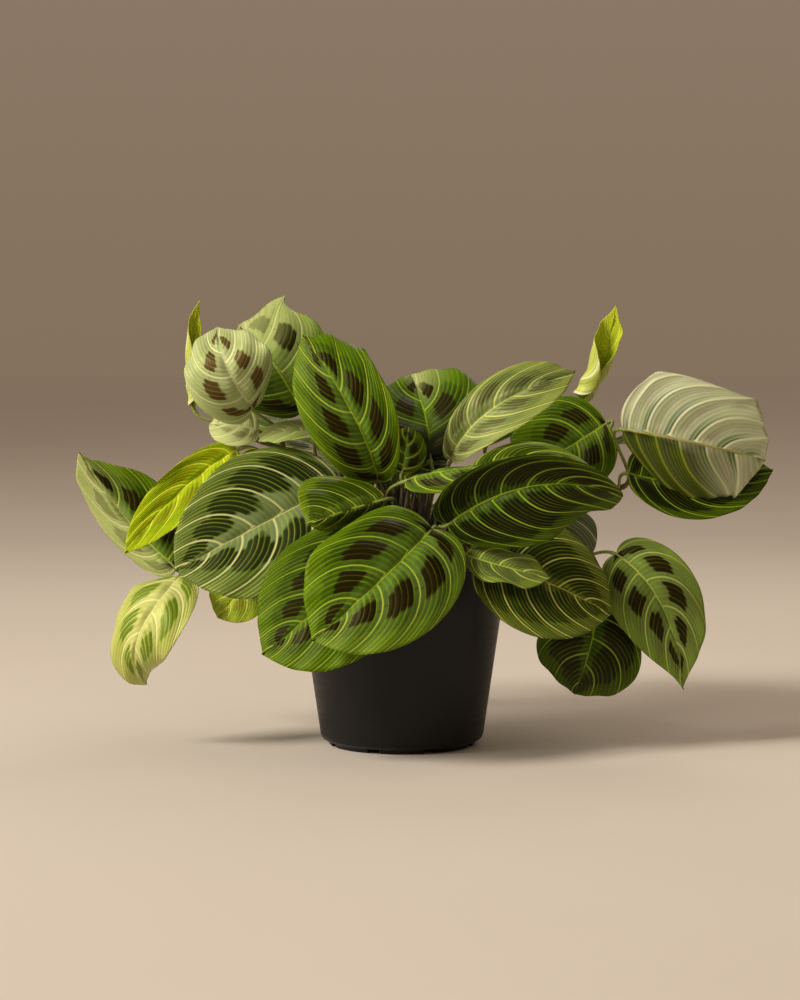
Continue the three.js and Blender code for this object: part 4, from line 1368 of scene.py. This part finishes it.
def stalk_finish():
    """Green with fine lines, and pinkish brown at its foot."""
    finish = Finish("leaf stalk")
    place = finish.place()
    along = finish.corner("growth")[0]
    lines = finish.noise(place, scale=800.0, detail=3.0)
    patches = finish.noise(place, scale=120.0, detail=2.0)
    green = finish.blend(finish.step(lines, MOST_NOISE), "#6C7A2C", "#8D9448")
    brown = finish.step(along + patches * 0.5, (0.3, 0.75), (0.8, 0.0))
    finish.relief(lines, STALK_RELIEF)
    return finish.wear(Base_Color=finish.blend(brown, green, "#7A4E3A"), Roughness=0.45)


under_skins = {name: under_finish(name, {**MOST_LOOKS, **look}) for name, look in LOOKS.items()}
stalk_skin = stalk_finish()
print("leaf finishes:", len(upper_skins) + len(under_skins) + 1)

# %% [markdown]
# ## The leaves
# Each leaf of the plant has one row here. Its stem, midrib, width and facing are those of the plain
# model. Five leaves have their halves or their tip shaped further here (low_left, new_left,
# new_right, centre_right and back_right), and eleven have corners at their margin. A row names the
# stem and the share of its length where the stalk stands, the points of the midrib in millimetres,
# the blade's full width, and the way the blade faces. What else is written is where the leaf
# differs from most. The order of the rows counts: a leaf's place in the list is the seed of its own
# waves.

# %% Leaves in front and on the left
# The four numbers that some rows add for the halves' base and tip paint sheen onto the blade, and shadow
# where they are below 0.
LEAVES = {
    "front_low": leaf_on("front", 0.75, [(16, -54, 123), (-13, -92, 97), (-46, -104, 69)], 80,
        (0.1, -0.85, 0.5), left=(16, 8, -34, -20), right=(16, 8, -34, -20), bloom=(0.16, 0.16, 0, 0),
        corners=[(1, 0.1, 5, 0.08), (1, 0.3, -5, 0.14), (-1, 0.4, -2.5, 0.25)]),
    "front_left": leaf_on("centre", 0.5, [(-4, -44, 127), (-38, -73, 89), (-73, -80, 59)], 78,
        (-0.05, -0.85, 0.5), left=(20, 8, -20, -20), right=(4, 8, -30, -20), halves=(1.05, 1),
        bloom=(-0.25, -0.1, -0.4, -0.15)),
    "centre_half": leaf_on("centre", 0.68, [(-9, -38, 138), (-33, -60, 132), (-49, -70, 126)], 60,
        (-0.1, -0.5, 0.85), left=(-70, -50, -40, -20), right=(25, 20, -20, -20), look="plain",
        halves=(0.3, 1), bloom=(-0.35, -0.2, 0, 0.1)),
    "left_big": leaf_on("left", 0.3, [(-34, -8, 144), (-79, -36, 122), (-121, -48, 100)], 90,
        (-0.15, -0.92, 0.35), left=(36, 8, -30, -20), right=(10, 8, -28, -20), look="dark",
        halves=(1, 1.08), corners=[(1, 0.5, -9, 0.2)]),
    "left_bright": leaf_on("left", 0.62, [(-92, 12, 162), (-124, 9, 138), (-152, -8, 106)], 40,
        (-0.3, -0.9, 0.3), left=(10, 10, 10, 10), right=(20, 20, 20, 20), look="fresh", halves=(1, 0.65),
        puff=0.1, ripple=0.03),
    "left_strip": leaf_on("left", 0.5, [(-79, -1, 161), (-93, -6, 151), (-108, -14, 140)], 14,
        (-0.3, -0.9, 0.3), left=(0, 0, 120, 120), right=(0, 0, 120, 120), look="fresh"),
    "far_left": leaf_on("left", 1, [(-126, 14, 96), (-156, 16, 126), (-179, 8, 161)], 56,
        (0.1, -0.9, 0.4), left=(-20, -40, -30, -30), right=(20, 20, 10, 10), halves=(0.6, 1),
        bloom=(0.8, 0.95, -0.6, 0.6), corners=[(1, 0.7, -7, 0.2)]),
    "low_left": leaf_on("left", 0.85,
        [(-122, -14, 94), (-133, -32, 80), (-144, -34, 58), (-140, -12, 34)], 50, (-0.1, -0.9, 0.4),
        right=(-12, -8, -34, -30), look="cream", halves=(0.85, 0.8), corners=[(1, 0.22, 6, 0.2)]),
    "low_left_small": leaf_on("left", 0.45, [(-78, -10, 98), (-90, -14, 84), (-101, -14, 71)], 34,
        (0, -0.9, 0.4), look="fresh", bloom=(0.2, 0.3, 0.2, 0.3)),
    "new_left": leaf_on("upper_left", 1, [(-117, 28, 186), (-118, 28, 216), (-113, 24, 245)], 22,
        (0.3, -0.9, 0), left=(0, 0, 240, 150), right=(0, 0, 200, 100), look="new", halves=(1.2, 0.75),
        broad=0.75, point=0.2, lobe=0),
    "silver_left": leaf_on("upper_left", 0.86, [(-82, 0, 185), (-95, -18, 208), (-102, 2, 230)], 50,
        (-0.1, -0.9, 0.35), left=(4, 0, -24, -20), right=(10, 8, -20, -20), look="pale", puff=0.11,
        ripple=0.03, bloom=(0.45, 0.5, 0.45, 0.5)),
    "tall_left": leaf_on("upper_left", 0.7, [(-56, 26, 183), (-76, 18, 216), (-93, 50, 231)], 74,
        (-0.1, -0.85, 0.45), left=(-20, -20, -10, -10), broad=1.1, bloom=(-0.4, 0.65, -0.15, 1.1),
        corners=[(1, 0.74, 17, 0.1), (1, 0.5, -7, 0.18)]),
    "under_silver": leaf_on("upper_left", 0.95, [(-80, 10, 173), (-93, 8, 176), (-107, 13, 176)], 32,
        (0, -0.7, 0.7), look="pale", bloom=(1, 1, 1, 1)),
    "glossy_left": leaf_on("upper_left", 0.55, [(-44, 11, 170), (-62, 3, 173), (-79, 0, 167)], 30,
        (0, -0.35, 0.95), look="plain", bloom=(0.2, 0.8, 0.4, 0.8)),
}
print("leaf rows so far:", len(LEAVES))

# %% Leaves in the middle and on the right
LEAVES.update({
    "tall_centre": leaf_on("centre", 1, [(-13, -18, 147), (-27, -34, 184), (-54, -20, 225)], 52,
        (-0.1, -0.95, 0.2), left=(35, 4, -20, -20), right=(30, -25, -20, -20), halves=(1, 0.84),
        broad=1.12, bloom=(0, 0.2, 0, 0.05), corners=[(1, 0.6, 8, 0.1), (1, 0.8, 8, 0.12)]),
    "back_centre": leaf_on("back_centre", 1, [(16, 14, 157), (13, 38, 180), (5, 66, 203)], 68,
        (0, -0.75, 0.65), right=(30, 26, -20, -20), bloom=(-1.8, 0.5, -1.9, 1.2),
        corners=[(1, 0.55, 4, 0.25), (-1, 0.6, 5, 0.25)]),
    "small_centre": leaf_on("back_centre", 0.58, [(0, 4, 150), (2, 7, 163), (3, 10, 175)], 24,
        (0, -1, 0.1), bloom=(-0.3, -0.2, -0.3, -0.2)),
    "pale_right": leaf_on("back_centre", 0.8, [(27, -4, 158), (50, -9, 186), (95, -2, 205)], 46,
        (-0.1, -0.8, 0.6), left=(40, 10, -20, -20), right=(34, 10, -20, -20), look="veiled",
        halves=(0.9, 1), broad=1.15, bloom=(0.5, -0.5, 0.6, -0.3), corners=[(-1, 0.3, -6, 0.2)]),
    "right_behind": leaf_on("right", 0.84, [(115, 34, 176), (93, 33, 162), (66, 24, 147)], 55,
        (0, -0.9, 0.35), bloom=(0, -0.2, -0.2, -0.2), corners=[(1, 0.7, 9, 0.25)]),
    "far_right": leaf_on("right", 1, [(122, 2, 174), (160, -12, 167), (200, -2, 157)], 76, (0, 0.9, 0.4),
        left=(6, 4, 20, 20), right=(6, 4, 20, 20), look="pale", broad=1.05, puff=0.14, space=13,
        rise=(1, -1, 0.4), bloom=(-3.5, 0.9, 0.6, 1.0),
        corners=[(1, 0.22, 6, 0.07), (1, 0.42, -5, 0.15), (1, 0.6, 5, 0.05), (1, 0.84, 5, 0.05),
                 (1, 0.95, -5, 0.06), (-1, 0.9, 28, 0.16), (-1, 0.74, 3, 0.25)]),
    "far_right_low": leaf_on("right", 0.97, [(126, 13, 149), (166, 20, 144), (207, 18, 150)], 52,
        (0, -0.8, 0.6), look="deep", space=14, rise=(0.6, -1, -0.3)),
    "centre_right": leaf_on("front", 1, [(24, -54, 125), (68, -78, 147), (116, -67, 141)], 74,
        (0, -1, 0.2), left=(20, 15, 60, 50), right=(0, 0, -40, -40), look="deep", halves=(0.66, 0.86),
        point=0.02, space=14, bloom=(-0.6, 0.2, -0.2, 0.2),
        corners=[(1, 0.62, -7, 0.12), (-1, 0.62, -7, 0.2)]),
    "centre_curl": leaf_on("centre", 0.84, [(2, -36, 148), (34, -48, 155), (70, -52, 154)], 26,
        (0, -0.3, 0.95), left=(-10, -10, -20, -20), right=(-50, -30, -20, -20)),
    "right_middle": leaf_on("right", 0.4, [(40, -30, 150), (71, -32, 158), (108, -34, 147)], 38,
        (0, -0.6, 0.8), look="plain", halves=(0.8, 0.6)),
    "new_right": leaf_on("right", 0.72, [(103, 52, 189), (115, 48, 213), (121, 42, 243)], 40,
        (-0.2, -1, 0), left=(0, 0, 240, 150), right=(0, 0, 200, 100), look="new", halves=(1.2, 0.75),
        broad=0.75, point=0.2, lobe=0),
    "low_right": leaf_on("low_right", 0.5, [(41, -48, 108), (78, -50, 94), (112, -43, 76)], 66,
        (0, -0.85, 0.5), look="striped", space=13),
    "low_right_dark": leaf_on("low_right", 0.8, [(107, -22, 80), (102, -28, 56), (94, -22, 30)], 58,
        (0, -0.95, 0.3), look="deep", broad=1.2, space=14, rise=(1, -0.6, 0.2), bloom=(0, 0.15, 0, 0.15)),
    "low_far_right": leaf_on("low_right", 1, [(117, -12, 106), (141, -28, 79), (153, -22, 33)], 48,
        (0.1, -0.95, 0.3), halves=(1, 1.12), point=0.14, rise=(1, 0, 0.3), bloom=(0.3, 0.35, 0.25, 0.3)),
})
print("leaf rows so far:", len(LEAVES))

# %% Leaves at the back and inside
LEAVES.update({
    "back_low_left": leaf_on("back_left", 0.6, [(-38, 64, 128), (-56, 94, 112), (-72, 108, 84)], 70,
        (-0.2, 0.8, 0.55), left=ARCHED, right=ARCHED),
    "back_low": leaf_on("back", 0.7, [(10, 74, 126), (14, 104, 108), (18, 116, 78)], 76,
        (0.05, 0.85, 0.5), left=ARCHED, right=ARCHED, look="dark"),
    "back_low_right": leaf_on("back_right", 0.6, [(62, 66, 126), (84, 92, 110), (100, 104, 82)], 66,
        (0.3, 0.8, 0.5), left=ARCHED, right=ARCHED, look="striped"),
    "back_left": leaf_on("back_left", 1, [(-86, 98, 140), (-116, 118, 128), (-142, 126, 102)], 66,
        (-0.45, 0.65, 0.6), left=ARCHED, right=ARCHED, look="dark"),
    "back_high_left": leaf_on("back_left", 0.8, [(-52, 78, 160), (-68, 102, 174), (-84, 122, 172)], 60,
        (-0.2, 0.35, 0.9), left=ARCHED, right=ARCHED, look="plain"),
    "back_high": leaf_on("back", 0.85, [(2, 84, 164), (4, 112, 178), (4, 140, 172)], 64, (0, 0.3, 0.95),
        left=ARCHED, right=ARCHED),
    "back_high_right": leaf_on("back_right", 0.8, [(48, 66, 162), (64, 90, 176), (82, 112, 174)], 58,
        (0.1, 0.35, 0.9), left=ARCHED, right=ARCHED),
    "back_right": leaf_on("back_right", 1, [(80, 98, 128), (94, 116, 114), (100, 124, 92)], 46,
        (0.35, 0.7, 0.6), left=ARCHED, right=ARCHED, look="deep", halves=(1, 0.6)),
    "side_right": leaf_on("right", 0.6, [(108, 62, 156), (142, 72, 168), (176, 74, 162)], 56,
        (0.2, 0.2, 0.95), left=ARCHED, right=ARCHED, look="plain"),
    "side_left": leaf_on("left", 0.72, [(-98, 44, 138), (-126, 56, 136), (-150, 58, 120)], 54,
        (-0.4, 0.1, 0.9), left=ARCHED, right=ARCHED),
    "side_low_left": leaf_on("back_left", 0.4, [(-62, 38, 118), (-92, 50, 106), (-114, 56, 86)], 62,
        (-0.5, 0.3, 0.8), left=ARCHED, right=ARCHED, look="dark"),
    "side_low_right": leaf_on("right", 0.5, [(62, 46, 118), (86, 56, 106), (102, 60, 86)], 58,
        (0.5, 0.3, 0.8), left=ARCHED, right=ARCHED),
    "inner_left": leaf_on("back_left", 0.45, [(-34, 34, 146), (-50, 52, 162), (-66, 68, 166)], 54,
        (-0.3, 0.1, 0.95), left=ARCHED, right=ARCHED, look="dark"),
    "inner_right": leaf_on("back_right", 0.45, [(42, 36, 137), (57, 46, 143), (72, 51, 140)], 40,
        (0.2, -0.1, 0.95), left=ARCHED, right=ARCHED),
    "low_crinkle": leaf_on("low_right", 0.38, [(34, -55, 109), (56, -60, 103), (78, -60, 97)], 26,
        (0, -0.7, 0.7), look="plain", wave=2.4, waves=3, bloom=(0.2, 0.3, 0.2, 0.3)),
    "inner_centre": leaf_on("back", 0.4, [(-10, 36, 137), (8, 40, 150), (26, 44, 155)], 40,
        (0, -0.7, 0.7), look="deep"),
})
print("leaf rows:", len(LEAVES))

# %% [markdown]
# ## Leaf sheaths
# In the middle of the plant, the foot of each stalk widens into a sheath that wraps its neighbours.
# Old sheaths dry out and turn brown. They fill the centre of the plant and hide the light behind it.
# Each one is a narrow, pointed sheet that is bent round an upright line and leans outwards. Sixty
# copies of one sheet would look alike, so each one's sizes are drawn between two limits.

# %% Grow the sheaths
SHEATH_COUNT = 60
SHEATH_ROWS = 14
SHEATH_COLUMNS = 8
SHEATH_TURN = 2.4
SHEATH_REACH = (6, 30)
SHEATH_HEIGHT = (38, 64)
SHEATH_LEAN = (2, 12)
SHEATH_WIDTH = (6, 10)
SHEATH_WRAP = math.radians(75)
SHEATH_POINT = 2.4
SHEATH_CURVE = 1.6
SHEATH_TIP = 0.3 * MM
SHEATH_SINK = 3 * MM
SHEATH_THICKNESS = 0.35 * MM
sheath_draw = np.random.default_rng(11)


def sheath(turn, reach, height, lean, width):
    """Upper and lower points of one sheath that stands on the soil."""
    shares, wraps = np.linspace(0, 1, SHEATH_ROWS), np.linspace(-1, 1, SHEATH_COLUMNS)
    share, wrap = np.meshgrid(shares, wraps, indexing="ij")
    half = width / 2 * (1 - share ** SHEATH_POINT) + SHEATH_TIP
    out = np.array([math.cos(turn), math.sin(turn), 0])
    along = np.array([-math.sin(turn), math.cos(turn), 0])
    angle = wrap * SHEATH_WRAP
    middle = reach + lean * share ** SHEATH_CURVE
    rise = SOIL_LEVEL - SHEATH_SINK + height * share
    outwards = middle - half * (1 - np.cos(angle))
    sideways = half * np.sin(angle)
    place = outwards[..., None] * out + sideways[..., None] * along
    place = place + rise[..., None] * np.array([0, 0, 1])
    inward = np.cos(angle)[..., None] * out + np.sin(angle)[..., None] * along
    return place, place - inward * SHEATH_THICKNESS


def sheath_finish():
    """Fine upright lines, green in some places and dry brown in others."""
    finish = Finish("leaf sheath")
    place = finish.place()
    x, y, z = finish.split(place)
    lines = finish.noise(finish.vector(x * 900, y * 900, z * 60), scale=1.0)
    streaks = finish.step(lines, MOST_NOISE)
    dry = finish.step(finish.noise(place, scale=55.0, detail=3.0), (0.4, 0.6))
    green = finish.blend(streaks, "#222C0C", "#445020")
    brown = finish.blend(streaks, "#20140C", "#463022")
    finish.relief(lines, STALK_RELIEF)
    return finish.wear(Base_Color=finish.blend(dry, green, brown), Roughness=0.6)


points, faces = [], []
for index in range(SHEATH_COUNT):
    ranges = (SHEATH_REACH, SHEATH_HEIGHT, SHEATH_LEAN, SHEATH_WIDTH)
    reach, height, lean, width = [sheath_draw.uniform(*limits) * MM for limits in ranges]
    top, bottom = sheath(SHEATH_TURN * index, reach, height, lean, width)
    more, sides, _ = closed_sheet(top, bottom)
    faces += [[corner + len(points) for corner in side] for side in sides]
    points += list(more)
sheaths = build("leaf_sheaths", points, faces, [sheath_finish()], None, smooth_angle=50)
tidy(sheaths)
print("sheaths:", SHEATH_COUNT)

# %% [markdown]
# ## Growing all the leaves
# The number of spaces between side veins follows from the length of the midrib, since the veins of a
# real leaf are about equally far apart. The seed differs from leaf to leaf, so no two margins wave in
# the same way.

# %% Build the leaves
FEWEST_SPACES = 4
for seed, (name, leaf) in enumerate(LEAVES.items()):
    rib_length = np.linalg.norm(np.diff(np.array(leaf.rib, dtype=float), axis=0), axis=1).sum()
    leaf.spaces = max(FEWEST_SPACES, round(rib_length / leaf.space))
    leaf.seed = seed
    leaf.slot = SLOTS.get(leaf.look, "leaf")
    make_leaf(name, leaf, [upper_skins[leaf.look], under_skins[leaf.look], stalk_skin])
print("leaves:", len(LEAVES))

# %% [markdown]
# ## The last check
# Both boxes, of the plain model and of the finished plant, are measured, and how far the finished one
# reaches past the plain one at each end is printed for each axis. The finished plant has to fill
# nearly the same box as the plain model, so both boxes are measured.

# %% Compare the sizes
finished_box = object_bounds()
for axis, letter in enumerate("XYZ"):
    low_growth = round((cad_box[0][axis] - finished_box[0][axis]) / MM, 1)
    high_growth = round((finished_box[1][axis] - cad_box[1][axis]) / MM, 1)
    print(letter, "grew at its low end by", low_growth, "mm and at its high end by", high_growth, "mm")
